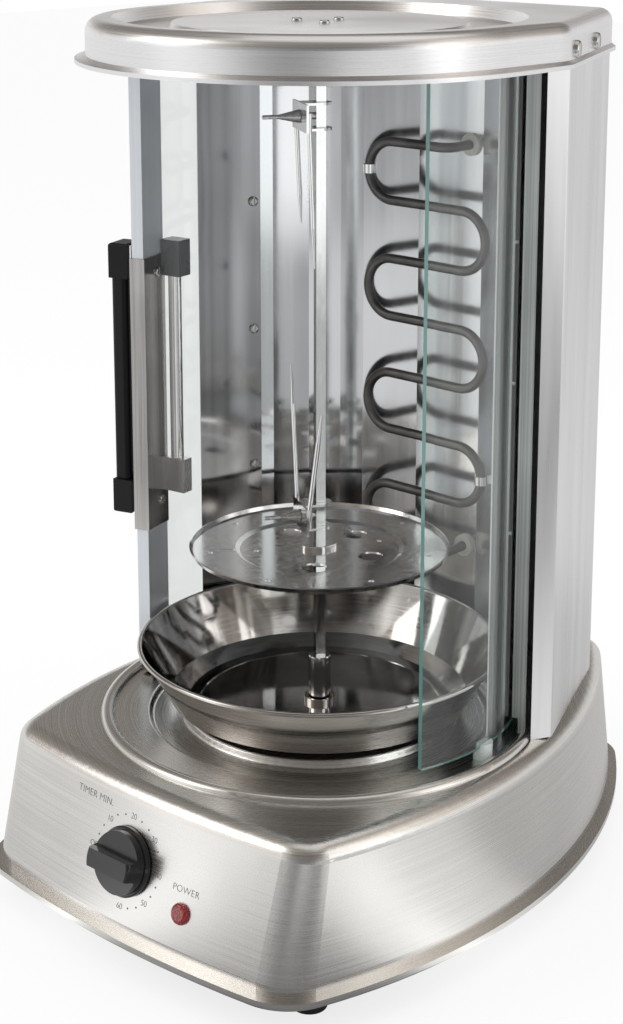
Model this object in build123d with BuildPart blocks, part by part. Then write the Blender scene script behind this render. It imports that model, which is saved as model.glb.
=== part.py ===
"""Vertical doner kebab grill: a steel base with a 60 minute timer, a round chamber closed by two
curved glass doors, a serpentine heater in the rear column, and a turning spit over a drip tray.

Frame: +Z up, Z = 0 is the table, the spit axis is the Z axis and the knob faces -Y. Millimetres.
Bearings about the spit axis are given in degrees from the front (-Y), positive towards +X."""
from build123d import *
from math import asin, atan2, cos, degrees, hypot, radians, sin, sqrt, tan
import os

os.makedirs("parts", exist_ok=True)

def around(radius, bearing):
    """Plan point at a bearing from the front."""
    return (radius * sin(radians(bearing)), -radius * cos(radians(bearing)))


def in_glass(gap, bearing):
    """Plan point inside the glass, by its clearance and its bearing."""
    return around(GLASS_IN - gap, bearing)


# Driving dimensions
# general clearances and sheet
SHEET = 1.0
SEAT_GAP = 0.3
RUN_GAP = 0.05
HEX_SIDES = 6
CUT = 3.0

# main sizes: height of the whole grill, the glass chamber and the deck it stands on
LID_TOP_Z = 558.0
GLASS_R = 127.0
GLASS_T = 4.0
DECK_Z = 110.0
GLASS_IN = GLASS_R - GLASS_T / 2
GLASS_OUT = GLASS_R + GLASS_T / 2

# drops from the lid's top
LID_WALL_DROP = 22.0
LID_FLANGE_DROP = 26.5
LID_SCREW_DROP = 16.5
CASE_TOP_DROP = 10.0
CEILING_DROP = 22.0
UPPER_FORK_DROP = 61.0
LID_WALL_Z = LID_TOP_Z - LID_WALL_DROP
LID_FLANGE_Z = LID_TOP_Z - LID_FLANGE_DROP
LID_SCREW_Z = LID_TOP_Z - LID_SCREW_DROP
CASE_TOP_Z = LID_TOP_Z - CASE_TOP_DROP
CEILING_Z = LID_TOP_Z - CEILING_DROP
UPPER_FORK_Z = LID_TOP_Z - UPPER_FORK_DROP

# column plan: front edge, corner and rear corner of the right side wall
CASE_REAR_Y = 176.0
CASE_FRONT_GAP = 6.0
CASE_CORNER_GAP = 12.5
CASE_REAR_INSET = 34.8
CASE_FRONT = (GLASS_OUT + CASE_FRONT_GAP, 48.0)
CASE_CORNER = (GLASS_OUT + CASE_CORNER_GAP, 61.5)
CASE_REAR = (GLASS_OUT - CASE_REAR_INSET, CASE_REAR_Y)

# deck rings round the spit
BEAD_STAND = 11.0
BEAD_R = GLASS_R + BEAD_STAND
BEAD_HALF = 4.5
BEAD_H = 4.0
WELL_INSET = 17.0
WELL_R = GLASS_R - WELL_INSET
WELL_DEPTH = 3.0
PLINTH_R = 88.0
PLINTH_H = 2.0
EASE = 2.2

# base plan: a bowed front, two long side arcs and a straight rear
FRONT_MARGIN = 50.0
SIDE_MARGIN = 28.0
REAR_MARGIN = 60.0
BASE_FRONT = BEAD_R + FRONT_MARGIN
BASE_REAR = CASE_REAR_Y + REAR_MARGIN
FRONT_BOW = 11.0
SIDE_RADIUS = 390.0
SIDE_CENTRE_X = BEAD_R + SIDE_MARGIN - SIDE_RADIUS
SIDE_CENTRE_Y = -14.0
FRONT_CORNER = 40.0
REAR_CORNER = 32.0

# base heights
FOOT_H = 20.0
FLANGE_Z = 19.0
LIP_H = 5.0
LIP_WIDTH = 7.2
LIP_ROUND = 2.0
LEDGE_INSET = 17.0
PLATE_SCREW_X = 85.0
PLATE_SCREW_Y = 160.0
PLATE_HEAD_R = 3.6
SKIRT_Z = 31.0
SKIRT_INSET = 6.0
FASCIA_TILT = 14.0
SIDE_TAPER = 8.0
REAR_TAPER = 10.0
SHOULDER = 12.0
BASE_SHEET = 1.2
BASE_SHEET_NORMAL = BASE_SHEET * (cos(radians(FASCIA_TILT)) + sin(radians(FASCIA_TILT)))

# feet and base plate
FOOT_WELL = 8.0
FOOT_WELL_R = 6.0
NUT_LENGTH = 4.0
FOOT_TOP_R = 15.0
FOOT_BOTTOM_R = 10.5
FRONT_FOOT_INSET = (26.0, 54.0)
REAR_FOOT_INSET = (70.0, 44.0)
FRONT_FOOT = (BEAD_R - FRONT_FOOT_INSET[0], FRONT_FOOT_INSET[1] - BASE_FRONT)
REAR_FOOT = (BEAD_R - REAR_FOOT_INSET[0], BASE_REAR - REAR_FOOT_INSET[1])
PLATE_T = 1.2
SCREW_R = 1.9
HEAD_R = 4.2
HEAD_H = 2.4
HEAD_ROUND = 0.7
SLOT_W = 1.0
SLOT_DEPTH = 0.4

# drive: a geared synchronous motor on a bridge over the base plate
MOTOR_R = 25.0
MOTOR_H = 18.0
GEARBOX_R = 24.0
GEARBOX_H = 14.0
MOTOR_SHAFT_R = 3.5
MOTOR_SHAFT_DROP = 12.0
MOTOR_SHAFT_TOP_Z = DECK_Z - MOTOR_SHAFT_DROP
BRIDGE_DROP = 28.0
BRIDGE_Z = DECK_Z - BRIDGE_DROP
BRIDGE_T = 1.5
BRIDGE_W = 60.0
BRIDGE_SPAN = 84.0
BRIDGE_FOOT = 14.0
BRIDGE_SCREW_Y = 20.0
MOTOR_SCREW_REACH = 17.0
COUPLING_R = 6.0
COUPLING_DROP = 25.0
COUPLING_Z = DECK_Z - COUPLING_DROP
BUSH_R = 7.6
BUSH_FLANGE_R = 9.0
BUSH_FLANGE_T = 0.8
BUSH_DEEP = 9.0
HUB_R = 7.2
HUB_RISE = 6.3
HUB_TOP_Z = DECK_Z + HUB_RISE

# spit: a square bar held in a socket that drops over the square stub of the drive
BAR = 6.2
SPIT_TURN = 57.0
SOCKET_H = 28.7
SOCKET_TOP_Z = HUB_TOP_Z + SOCKET_H
SOCKET_R = 7.2
STUB_H = 4.3
STUB_Z = HUB_TOP_Z + STUB_H
BAR_GAP = 0.4
BAR_Z = STUB_Z + BAR_GAP
SPIT_IN_BEARING = 8.0
GRUB_RISE = 9.7
GRUB_Z = HUB_TOP_Z + GRUB_RISE
GRUB_R = 2.2
GRUB_HEX_R = 1.2
DISC_R = 83.7
DISC_Z = 221.0
DISC_RIM = 3.0
DISC_T = 1.2
DISC_STEP_R = 53.0
DISC_STEP = 1.5
LARGE_HOLE_R = 8.2
LARGE_HOLE_REACH = 36.0
LARGE_HOLE_TURNS = (17.6, 90.0, 164.7, 306.5)
SMALL_HOLE_R = 1.9
SMALL_HOLE_REACH = 71.0
SMALL_HOLE_TURNS = (28.1, 81.5, 132.5, 183.5, 232.4, 285.0, 338.2)
INNER_HOLE_REACH = 41.0
INNER_HOLE_TURNS = (61.8, 229.2)
SLIT_REACH = 60.5
SLIT_LONG = 12.0
SLIT_WIDE = 2.6
HUB_EAR_REACH = 8.5
HUB_EAR_R = 3.0
HUB_PLATE_R = 6.6
HUB_PLATE_T = 3.0
HUB_SLEEVE_R = 5.6
HUB_COLLAR_R = 8.0
HUB_COLLAR_H = 9.0

# meat forks: a folded bracket on the bar with two prongs and a thumb screw
FORK_T = 1.5
FORK_REACH = 11.5
FORK_HALF = 17.0
TONGUE_HALF = 7.5
FORK_TALL = 17.2
PRONG_R = 1.5
PRONG_TIP_R = 0.5
PRONG_STRAIGHT = 0.7
PRONG_SEAT = 12.0
LOWER_FORK_RISE = 20.0
LOWER_FORK_Z = DISC_Z + LOWER_FORK_RISE
UPPER_PRONG_DROPS = (92.0, 69.0)
LOWER_PRONG_RISES = (72.0, 94.0)
UPPER_PRONG_TIPS = ((-8.0, -17.5), (-8.0, 15.0))
LOWER_PRONG_TIPS = ((-5.0, -23.0), (-12.4, 24.0))
THUMB_R = 2.2
THUMB_HEAD_R = 4.2
THUMB_HEAD_LONG = 13.5
THUMB_PIN_R = 1.3
THUMB_PIN_LONG = 10.0

# drip tray
TRAY_RIM_GAP = 7.6
TRAY_RIM_R = GLASS_IN - TRAY_RIM_GAP
TRAY_RIM_RISE = 46.4
TRAY_RIM_Z = DECK_Z + TRAY_RIM_RISE
TRAY_ROLL_R = 1.6
TRAY_FLOOR_R = 86.0
TRAY_WALL_R = 97.0
TRAY_WALL_RISE = 11.0
TRAY_WALL_Z = DECK_Z + TRAY_WALL_RISE
TRAY_FOOT_R = 78.0
TRAY_SHEET = 0.9
TRAY_HOLE_R = 9.5
TRAY_COLLAR_H = 4.0
TRAY_LIFT_FOOT = 1.2

# glass doors
GLASS_RISE = 8.0
GLASS_Z = DECK_Z + GLASS_RISE
DOOR_OPEN = 70.0
DOOR_REAR = 151.5
PROFILE_WALL = 2.1
PROFILE_IN_R = GLASS_IN - PROFILE_WALL
PROFILE_OUT_R = GLASS_OUT + PROFILE_WALL
PROFILE_WIDE = 25.0
PROFILE_WEB = 1.8
PROFILE_TOP_GAP = 0.5
PROFILE_TOP_Z = CEILING_Z - PROFILE_TOP_GAP

# handle
HANDLE_TOP_Z = 398.0
HANDLE_BOTTOM_Z = 214.0
HANDLE_WALL = 1.2
HANDLE_LAP = 25.0
HANDLE_BEARING = -73.6
GRIP_STAND = 5.4
GRIP_DEEP = 11.5
GRIP_IN_R = PROFILE_OUT_R + GRIP_STAND
GRIP_OUT_R = GRIP_IN_R + GRIP_DEEP
GRIP_WIDE = 15.0
GRIP_LOW_Z = 224.0
GRIP_TOP_Z = 400.0
CAP_WIDE = 19.0
CAP_LOW_Z = 384.0
CAP_TOP_Z = 407.0
CAP_STAND = 2.9
CAP_IN_R = PROFILE_OUT_R + CAP_STAND
GRIP_EDGE = 3.5
INNER_BAR_R = 4.4
INNER_BAR_STAND = 7.4
INNER_BAR_REACH = PROFILE_IN_R - INNER_BAR_STAND
INNER_BAR_Z = 250.0
INNER_BAR_TOP_Z = 392.0
BRACKET_LONG = 15.9
BRACKET_IN_R = PROFILE_IN_R - BRACKET_LONG
INNER_BEARING = -82.5
BRACKET_SPANS = ((236.0, 259.0, 9.0), (384.0, 408.0, 12.0))
HANDLE_HEAD_R = 3.2
HANDLE_HEAD_H = 1.4
HANDLE_SCREW_Z = (230.8, 386.8)
HANDLE_SCREW_BEARING = -77.6

# rollers, gliders and the upper track
ROLLER_R = 3.6
ROLLER_LONG = 5.0
ROLLER_BEARING = 73.6
ROLLER_FRAME_LONG = 11.0
ROLLER_FRAME_RISE = 1.6
ROLLER_FRAME_Z = DECK_Z + ROLLER_FRAME_RISE
AXLE_R = 1.2
GLIDER_BEARINGS = (94.2, 140.0)
GLIDER_R = 6.2
GLIDER_WALL = 1.9
GLIDER_IN_R = GLASS_IN - GLIDER_WALL
GLIDER_LAP = 2.5
GLIDER_TOP_Z = GLASS_Z + GLIDER_LAP
TRACK_WALL = 1.4
TRACK_GAP = 0.35
TRACK_TALL = 10.8
TRACK_TOP_Z = CEILING_Z + TRACK_TALL
GLASS_TOP_GAP = 1.4
GLASS_TOP_Z = TRACK_TOP_Z - TRACK_WALL - GLASS_TOP_GAP
TRACK_END = 153.0
TRACK_IN_R = GLASS_IN - TRACK_GAP - TRACK_WALL
TRACK_OUT_R = GLASS_OUT + TRACK_GAP + TRACK_WALL
GLIDER_START = 85.0

# chamber walls: clearance to the glass and bearing of the right half's plan points, visible face
LAP_LONG = 11.0
PANEL_FRONT_AT = (1.76, 97.085)
PANEL_REAR_AT = (3.53, 118.844)
CORNER_STEP_AT = (2.93, 123.065)
CORNER_MID_AT = (3.45, 134.700)
CORNER_END_AT = (3.10, 144.954)
NICHE_EDGE_AT = (1.81, 152.228)
CORNER_START_AT = (1.81, 152.205)
NICHE_DEEP = 23.3
NICHE_HALF = 28.0
PANEL_FRONT = in_glass(*PANEL_FRONT_AT)
PANEL_REAR = in_glass(*PANEL_REAR_AT)
CORNER_STEP = in_glass(*CORNER_STEP_AT)
CORNER_MID = in_glass(*CORNER_MID_AT)
CORNER_END = in_glass(*CORNER_END_AT)
NICHE_EDGE = in_glass(*NICHE_EDGE_AT)
CORNER_START = in_glass(*CORNER_START_AT)
NICHE_BACK = (NICHE_HALF, NICHE_EDGE[1] + NICHE_DEEP)
WALL_T = 0.8
PANEL_SCREW_Z = (240.0, 336.5, 424.7)
PANEL_SCREW_INSET = 5.5
PANEL_HEAD_R = 3.4
NICHE_RISE = 4.3
NICHE_Z = DECK_Z + NICHE_RISE

# heater
TUBE_R = 3.25
LEGS = 8
LEG_PITCH = 39.6
LOW_LEG_Z = 190.0
HEATER_SET_IN = 3.0
HEATER_EDGE_GAP = 7.4
HEATER_TAIL_LONG = 17.7
HEATER_Y = NICHE_EDGE[1] - HEATER_SET_IN
HEATER_HALF = NICHE_EDGE[0] - HEATER_EDGE_GAP
HEATER_TAIL_Y = NICHE_BACK[1] + HEATER_TAIL_LONG
HEATER_TAIL_X = 18.0
CLIP_T = 0.8
CLIP_WIDE = 6.0
TAIL_BEND = 10.0
CERAMIC_R = 6.0
CERAMIC_LONG = 11.0
CERAMIC_FLANGE_R = 7.5
CERAMIC_FLANGE_T = 2.5

# column casing
CASE_REAR_CORNER = 13.0
CASE_LIP = 7.0
CASE_LIP_LEAN = 1.75
CASE_BEND = 2.0
CASE_FOOT = 11.0
CASE_TAB_LONG = 16.0
CASE_TAB_X = 60.0
CASE_TAB_Y = 118.0

# lid
LID_OVERHANG = 11.25
LID_R = TRACK_OUT_R + LID_OVERHANG
LID_FLANGE = 6.6
LID_SIDE_FLANGE = 2.7
LID_CORNER_Y = 54.0
LID_CORNER_R = 30.0
LID_SIDE_R = 120.0
LID_SHOULDER = 8.5
LID_SHEET = 1.0
RECESS_RIM = 16.0
RECESS_R = LID_R - RECESS_RIM
RECESS_DEPTH = 7.0
CENTRE_R = 90.0
CENTRE_DROP = 3.5
CEILING_T = 1.2
COVER_START_Y = 90.0
COVER_EDGE_TRIM = (1.4, 0.5)
COVER_BACK_LAP = (0.4, 0.8)
NICHE_COVER = ((0.0, COVER_START_Y), (NICHE_EDGE[0] - COVER_EDGE_TRIM[0], NICHE_EDGE[1] - COVER_EDGE_TRIM[1]),
               (NICHE_BACK[0] + COVER_BACK_LAP[0], NICHE_BACK[1] + COVER_BACK_LAP[1]))
LID_SCREW_Y = (70.0, 122.0)
LID_SCREW_HEAD = 5.2
LID_SCREW_HIGH = 3.0
LID_FLARE = 2.5
POST_R = 4.0
POST_REACH = (CENTRE_R + RECESS_R) / 2
POST_BEARINGS = (-140.0, -40.0, 40.0, 140.0)
BEARING_SCREW_REACH = 15.0
BEARING_HEAD_R = 3.4
BEARING_HEAD_H = 1.8
BEARING_SCREW_BEARINGS = (-68.0, 52.0, 172.0)
BEARING_R = 22.0
BEARING_FLANGE_T = 2.0
BEARING_BODY_R = 9.0
BEARING_BORE_R = BAR / sqrt(2) + RUN_GAP
BEARING_HANG = 3.0
BEARING_BORE_H = 16.5
BEARING_LOW_Z = CEILING_Z - BEARING_HANG
SPIT_TOP_Z = BEARING_LOW_Z + SPIT_IN_BEARING

# control panel
DIAL_DROP = 43.2
DIAL_Z = DECK_Z - DIAL_DROP
KNOB_R = 21.0
KNOB_SKIRT_T = 3.0
KNOB_BODY_R = 19.2
KNOB_BAR_W = 11.5
KNOB_BAR_H = 16.0
KNOB_EDGE = 2.6
KNOB_SCOOP = (2.5, 1.0)
KNOB_GAP = 0.6
KNOB_SHELL = 1.2
KNOB_HUB_R = 5.5
KNOB_BODY_TOP = 8.5
TIMER_W = 44.0
TIMER_TALL = 42.0
TIMER_DEEP = 26.0
TIMER_ROUND = 2.0
TIMER_SHAFT_R = 3.0
TIMER_SCREW_REACH = 12.8
TIMER_HEAD_R = 3.2
TIMER_SHAFT_DEEP = 12.0
KNOB_SHAFT_TOP = 13.0
KNOB_DRAFT = 4.0
KNOB_HOLLOW = 4.5
LAMP_X = 48.5
LAMP_DROP = 58.4
LAMP_Z = DECK_Z - LAMP_DROP
LAMP_R = 6.5
LAMP_DOME = 3.2
LAMP_ROUND = 2.7
LAMP_STEM_R = 4.8
LAMP_BODY_R = 6.0
LAMP_BODY_LONG = 16.0

# rear inlet and wiring
GLAND_INSET = 83.0
GLAND_X = GLAND_INSET - BEAD_R
GLAND_FLANGE_R = 11.5
GLAND_FLANGE_T = 4.0
GLAND_NECK = 10.0
GLAND_DRAFT = 10.0
BLOCK_X = -40.0
BLOCK_Y = 175.0
WIRE_HOLE_Y = 155.0
WIRE_HOLE_R = 9.0
GLAND_Z = 62.0
GLAND_R = 8.0
GLAND_BORE_R = 3.6
BLOCK_W = 38.0
BLOCK_D = 20.0
BLOCK_H = 16.0
BLOCK_PITCH = 12.7
BLOCK_ROW = 10.0


# Helpers
def radial_plane(radius, bearing, z):
    """Plane whose normal points away from the axis and whose x axis runs round it."""
    x, y = around(radius, bearing)
    out = around(1.0, bearing)
    return Plane(origin=(x, y, z), x_dir=(-out[1], out[0], 0), z_dir=(out[0], out[1], 0))


def side_x(y, inset):
    """Half width of the base plan at y, for an outline drawn in by inset."""
    radius = SIDE_RADIUS - inset
    return SIDE_CENTRE_X + sqrt(radius ** 2 - (y - SIDE_CENTRE_Y) ** 2)


def base_plan(front, side, rear):
    """Plan of the base, drawn in by a separate inset at the front, the sides and the rear."""
    y_front = -(BASE_FRONT - front)
    y_corner = y_front + FRONT_BOW
    y_rear = BASE_REAR - rear
    x_front = side_x(y_corner, side)
    x_rear = side_x(y_rear, side)
    x_wide = side_x(SIDE_CENTRE_Y, side)
    with BuildSketch(mode=Mode.PRIVATE) as plan:
        with BuildLine():
            ThreePointArc((-x_front, y_corner), (0, y_front), (x_front, y_corner))
            ThreePointArc((x_front, y_corner), (x_wide, SIDE_CENTRE_Y), (x_rear, y_rear))
            Line((x_rear, y_rear), (-x_rear, y_rear))
            ThreePointArc((-x_rear, y_rear), (-x_wide, SIDE_CENTRE_Y), (-x_front, y_corner))
        make_face()
        fillet(plan.vertices().group_by(Axis.Y)[0], FRONT_CORNER - side)
        fillet(plan.vertices().group_by(Axis.Y)[-1], REAR_CORNER - side)
    return plan.sketch


def strip(points, thickness):
    """Closed outline of a sheet laid along points, its thickness on the left hand."""
    normals = []
    for (x0, y0), (x1, y1) in zip(points, points[1:]):
        length = hypot(x1 - x0, y1 - y0)
        normals.append((-(y1 - y0) / length, (x1 - x0) / length))
    far = []
    for i, (x, y) in enumerate(points):
        a = normals[max(i - 1, 0)]
        b = normals[min(i, len(normals) - 1)]
        scale = thickness / (1 + a[0] * b[0] + a[1] * b[1])
        far.append((x + (a[0] + b[0]) * scale, y + (a[1] + b[1]) * scale))
    return list(points) + far[::-1]


def mirrored(points):
    """The same plan points on the other side of the YZ plane, in the opposite order."""
    return [(-x, y) for x, y in reversed(points)]


def wall(points, thickness, z_low, z_high):
    """Upright sheet standing on a plan line."""
    with BuildPart() as sheet:
        with BuildSketch(Plane.XY.offset(z_low)):
            Polygon(*strip(points, thickness), align=None)
        extrude(amount=z_high - z_low)
    return sheet.part


def arc_wall(inner, outer, start, end, z_low, z_high):
    """Upright curved sheet between two bearings."""
    middle = (start + end) / 2
    with BuildPart() as curved:
        with BuildSketch(Plane.XY.offset(z_low)):
            with BuildLine():
                ThreePointArc(around(outer, start), around(outer, middle), around(outer, end))
                Line(around(outer, end), around(inner, end))
                ThreePointArc(around(inner, end), around(inner, middle), around(inner, start))
                Line(around(inner, start), around(outer, start))
            make_face()
        extrude(amount=z_high - z_low)
    return curved.part


def on_plane(plane, across, up):
    """The same plane with its origin moved within it."""
    origin = plane.origin + plane.x_dir * across + plane.y_dir * up
    return Plane(origin=origin, x_dir=plane.x_dir, z_dir=plane.z_dir)


def pan_screw(plane, shank, head=HEAD_R, high=HEAD_H):
    """Pan head screw with a slot, its head standing on the plane and its shank behind it."""
    with BuildPart() as screw:
        with BuildSketch(plane):
            Circle(head)
        extrude(amount=high)
        fillet(screw.faces().sort_by(Axis(plane.origin, plane.z_dir))[-1].edges(), high * HEAD_ROUND)
        with BuildSketch(plane.offset(high)):
            Rectangle(head * 2, SLOT_W)
        extrude(amount=-high * SLOT_DEPTH, mode=Mode.SUBTRACT)
        with BuildSketch(plane):
            Circle(SCREW_R)
        extrude(amount=-shank)
    return screw.part


def save(part, name):
    """Label a finished piece and write its file."""
    part.label = name
    export_step(part, f"parts/{name}.step")


FASCIA_RUN = (DECK_Z - SKIRT_Z) * tan(radians(FASCIA_TILT))
TOP_INSET = (SKIRT_INSET + FASCIA_RUN, SKIRT_INSET + SIDE_TAPER, SKIRT_INSET + REAR_TAPER)


# Column plan: the side walls lean in towards the rear
SIDE_LENGTH = hypot(CASE_REAR[0] - CASE_CORNER[0], CASE_REAR[1] - CASE_CORNER[1])
SIDE_OUT = ((CASE_REAR[1] - CASE_CORNER[1]) / SIDE_LENGTH, (CASE_CORNER[0] - CASE_REAR[0]) / SIDE_LENGTH)
SIDE_REACH = SIDE_OUT[0] * CASE_CORNER[0] + SIDE_OUT[1] * CASE_CORNER[1]


def side_point(y, out):
    """Point at y on the column's right side, moved outwards."""
    return ((SIDE_REACH + out - SIDE_OUT[1] * y) / SIDE_OUT[0], y)


def near(sketch, x, y):
    """Corners of a sketch at a plan point or at its mirror image."""
    return [v for v in sketch.vertices() if hypot(abs(v.X) - abs(x), v.Y - y) < SHEET / 4]


def bent_wall(points, thickness, bends, z_low, z_high):
    """Upright sheet on a plan line, with an outer bend radius at the chosen corners."""
    outline = strip(points, thickness)
    with BuildPart() as sheet:
        with BuildSketch(Plane.XY.offset(z_low)) as plan:
            Polygon(*outline, align=None)
            for corner, radius in bends.items():
                fillet(near(plan, *outline[corner]), radius)
                fillet(near(plan, *outline[-1 - corner]), radius - thickness)
        extrude(amount=z_high - z_low)
    return sheet.part


def case_tabs():
    """Centres and turns of the casing's foot tabs: two on the sides, two on the rear wall."""
    side = side_point(CASE_TAB_Y, 0)
    side = (side[0] - SIDE_OUT[0] * CASE_FOOT / 2, side[1] - SIDE_OUT[1] * CASE_FOOT / 2)
    turn = degrees(atan2(SIDE_OUT[1], SIDE_OUT[0]))
    rear = CASE_REAR[1] - CASE_FOOT / 2
    return [(side[0], side[1], turn), (-side[0], side[1], -turn),
            (CASE_TAB_X, rear, 90), (-CASE_TAB_X, rear, 90)]


# Base shell: drawn steel cover with the deck rings, the rolled foot flange and the openings
def ring_section(z):
    """Profile of the deck rings from outside in, for the face that lies at z on the flat deck."""
    bead_out = BEAD_R + BEAD_HALF
    bead_in = BEAD_R - BEAD_HALF
    return [
        (bead_out, z), (bead_in, z), (WELL_R + EASE, z), (WELL_R - EASE, z - WELL_DEPTH),
        (PLINTH_R + EASE, z - WELL_DEPTH), (PLINTH_R - EASE, z + PLINTH_H), (BUSH_R, z + PLINTH_H),
    ]


def ring_face(z):
    """Lines of the deck rings on one face of the sheet."""
    out, bead_in, well_out, well, plinth_out, plinth, hole = ring_section(z)
    ThreePointArc(out, (BEAD_R, z + BEAD_H), bead_in)
    Line(bead_in, well_out)
    Spline(well_out, well, tangents=((-1, 0), (-1, 0)))
    Line(well, plinth_out)
    Spline(plinth_out, plinth, tangents=((-1, 0), (-1, 0)))
    Line(plinth, hole)


def base_cover(inset, floor, top, shoulder):
    """Solid under the base cover, drawn in by inset."""
    with BuildPart() as cover:
        with BuildSketch(Plane.XY.offset(floor)):
            add(base_plan(SKIRT_INSET + inset, SKIRT_INSET + inset, SKIRT_INSET + inset))
        with BuildSketch(Plane.XY.offset(top)):
            add(base_plan(TOP_INSET[0] + inset, TOP_INSET[1] + inset, TOP_INSET[2] + inset))
        loft(ruled=True)
        fillet(cover.faces().sort_by(Axis.Z)[-1].edges(), shoulder)
    return cover.part


SKIRT_FRONT = BASE_FRONT - SKIRT_INSET
BOW_HALF = side_x(FRONT_BOW - SKIRT_FRONT, SKIRT_INSET)
BOW_R = (BOW_HALF ** 2 + FRONT_BOW ** 2) / (2 * FRONT_BOW)


def fascia(x, z):
    """Plane on the bowed, leaning front at a place on it."""
    turn = asin(x / BOW_R)
    back = BOW_R * (1 - cos(turn)) + (z - SKIRT_Z) * tan(radians(FASCIA_TILT))
    lean = radians(FASCIA_TILT)
    return Plane(origin=(x, back - SKIRT_FRONT, z), x_dir=(cos(turn), sin(turn), 0),
                 z_dir=(sin(turn) * cos(lean), -cos(turn) * cos(lean), sin(lean)))


FASCIA_PLANE = fascia(0, DIAL_Z)
LAMP_PLANE = fascia(LAMP_X, LAMP_Z)
TIMER_SEAT = BASE_SHEET_NORMAL + (TIMER_W / 2) ** 2 / (2 * BOW_R) + RUN_GAP
LAMP_SEAT = BASE_SHEET_NORMAL + LAMP_BODY_R ** 2 / (2 * BOW_R) + RUN_GAP
REAR_TILT = degrees(atan2(REAR_TAPER, DECK_Z - SKIRT_Z))
REAR_PLANE = Plane(
    origin=(GLAND_X, BASE_REAR - SKIRT_INSET - (GLAND_Z - SKIRT_Z) * tan(radians(REAR_TILT)), GLAND_Z),
    x_dir=(-1, 0, 0),
    z_dir=(0, cos(radians(REAR_TILT)), sin(radians(REAR_TILT))),
)
LEDGE_Z = FOOT_H + PLATE_T
LEDGE_MID = (LIP_WIDTH + LEDGE_INSET) / 2
PLATE_SCREWS = [
    (PLATE_SCREW_X, LEDGE_MID - BASE_FRONT + PLATE_SCREW_X ** 2 / (2 * BOW_R)),
    (side_x(SIDE_CENTRE_Y, LEDGE_MID), SIDE_CENTRE_Y),
    (side_x(PLATE_SCREW_Y, LEDGE_MID), PLATE_SCREW_Y),
]
DECK_RING_R = BEAD_R + BEAD_HALF


def ledge_points():
    """Screw places on the inner ledge, both sides."""
    return [(side * x, y) for x, y in PLATE_SCREWS for side in (-1, 1)]


with BuildPart() as base_shell:
    add(base_cover(0, SKIRT_Z, DECK_Z, SHOULDER))
    add(base_cover(BASE_SHEET, SKIRT_Z - BASE_SHEET, DECK_Z - BASE_SHEET, SHOULDER - BASE_SHEET),
        mode=Mode.SUBTRACT)
    with BuildSketch(Plane.XY.offset(DECK_Z - BASE_SHEET)):
        Circle(DECK_RING_R)
    extrude(amount=BASE_SHEET, mode=Mode.SUBTRACT)
    with BuildSketch(Plane.XZ):
        with BuildLine():
            ring_face(DECK_Z)
            Line(ring_section(DECK_Z)[-1], ring_section(DECK_Z - BASE_SHEET)[-1])
            ring_face(DECK_Z - BASE_SHEET)
            Line(ring_section(DECK_Z - BASE_SHEET)[0], ring_section(DECK_Z)[0])
        make_face()
    revolve(axis=Axis.Z)
    # rolled flange, the cove above it and the inner ledge over the base plate
    with BuildSketch(Plane.XY.offset(FLANGE_Z)):
        add(base_plan(0, 0, 0))
        add(base_plan(LIP_WIDTH, LIP_WIDTH, LIP_WIDTH), mode=Mode.SUBTRACT)
    extrude(amount=LIP_H)
    fillet(base_shell.faces().filter_by(Axis.Z).sort_by(Axis.Z)[0].outer_wire().edges(), LIP_ROUND)
    with BuildSketch(Plane.XY.offset(FLANGE_Z + LIP_H)):
        add(base_plan(SKIRT_INSET, SKIRT_INSET, SKIRT_INSET))
        add(base_plan(LIP_WIDTH, LIP_WIDTH, LIP_WIDTH), mode=Mode.SUBTRACT)
    extrude(amount=SKIRT_Z - FLANGE_Z - LIP_H)
    with BuildSketch(Plane.XY.offset(LEDGE_Z)):
        add(base_plan(LIP_WIDTH, LIP_WIDTH, LIP_WIDTH))
        add(base_plan(LEDGE_INSET, LEDGE_INSET, LEDGE_INSET), mode=Mode.SUBTRACT)
        with Locations(*ledge_points()):
            Circle(SCREW_R, mode=Mode.SUBTRACT)
    extrude(amount=BASE_SHEET)
    # openings of the fascia, the rear wall and the column floor
    with BuildSketch(FASCIA_PLANE):
        Circle(TIMER_SHAFT_R + SHEET)
        with Locations((-TIMER_SCREW_REACH, 0), (TIMER_SCREW_REACH, 0)):
            Circle(SCREW_R)
    extrude(amount=-CUT, both=True, mode=Mode.SUBTRACT)
    with BuildSketch(LAMP_PLANE):
        Circle(LAMP_STEM_R)
    extrude(amount=-CUT, both=True, mode=Mode.SUBTRACT)
    with BuildSketch(REAR_PLANE):
        Circle(GLAND_R)
    extrude(amount=-CUT, both=True, mode=Mode.SUBTRACT)
    with BuildSketch(Plane.XY.offset(DECK_Z)):
        with Locations((0, WIRE_HOLE_Y)):
            Circle(WIRE_HOLE_R)
        with Locations(*[(x, y) for x, y, turn in case_tabs()]):
            Circle(SCREW_R)
    extrude(amount=-2 * BASE_SHEET, mode=Mode.SUBTRACT)
save(base_shell.part, "base_shell")


# Base plate, rubber feet and their screws
FEET = [(side * x, y) for x, y in (FRONT_FOOT, REAR_FOOT) for side in (-1, 1)]
BRIDGE_SCREWS = [(side * (BRIDGE_SPAN + BRIDGE_FOOT) / 2, y) for side in (-1, 1)
                 for y in (-BRIDGE_SCREW_Y, BRIDGE_SCREW_Y)]
BLOCK_SCREWS = [(BLOCK_X + side * BLOCK_PITCH, BLOCK_Y) for side in (-1, 1)]

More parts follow.
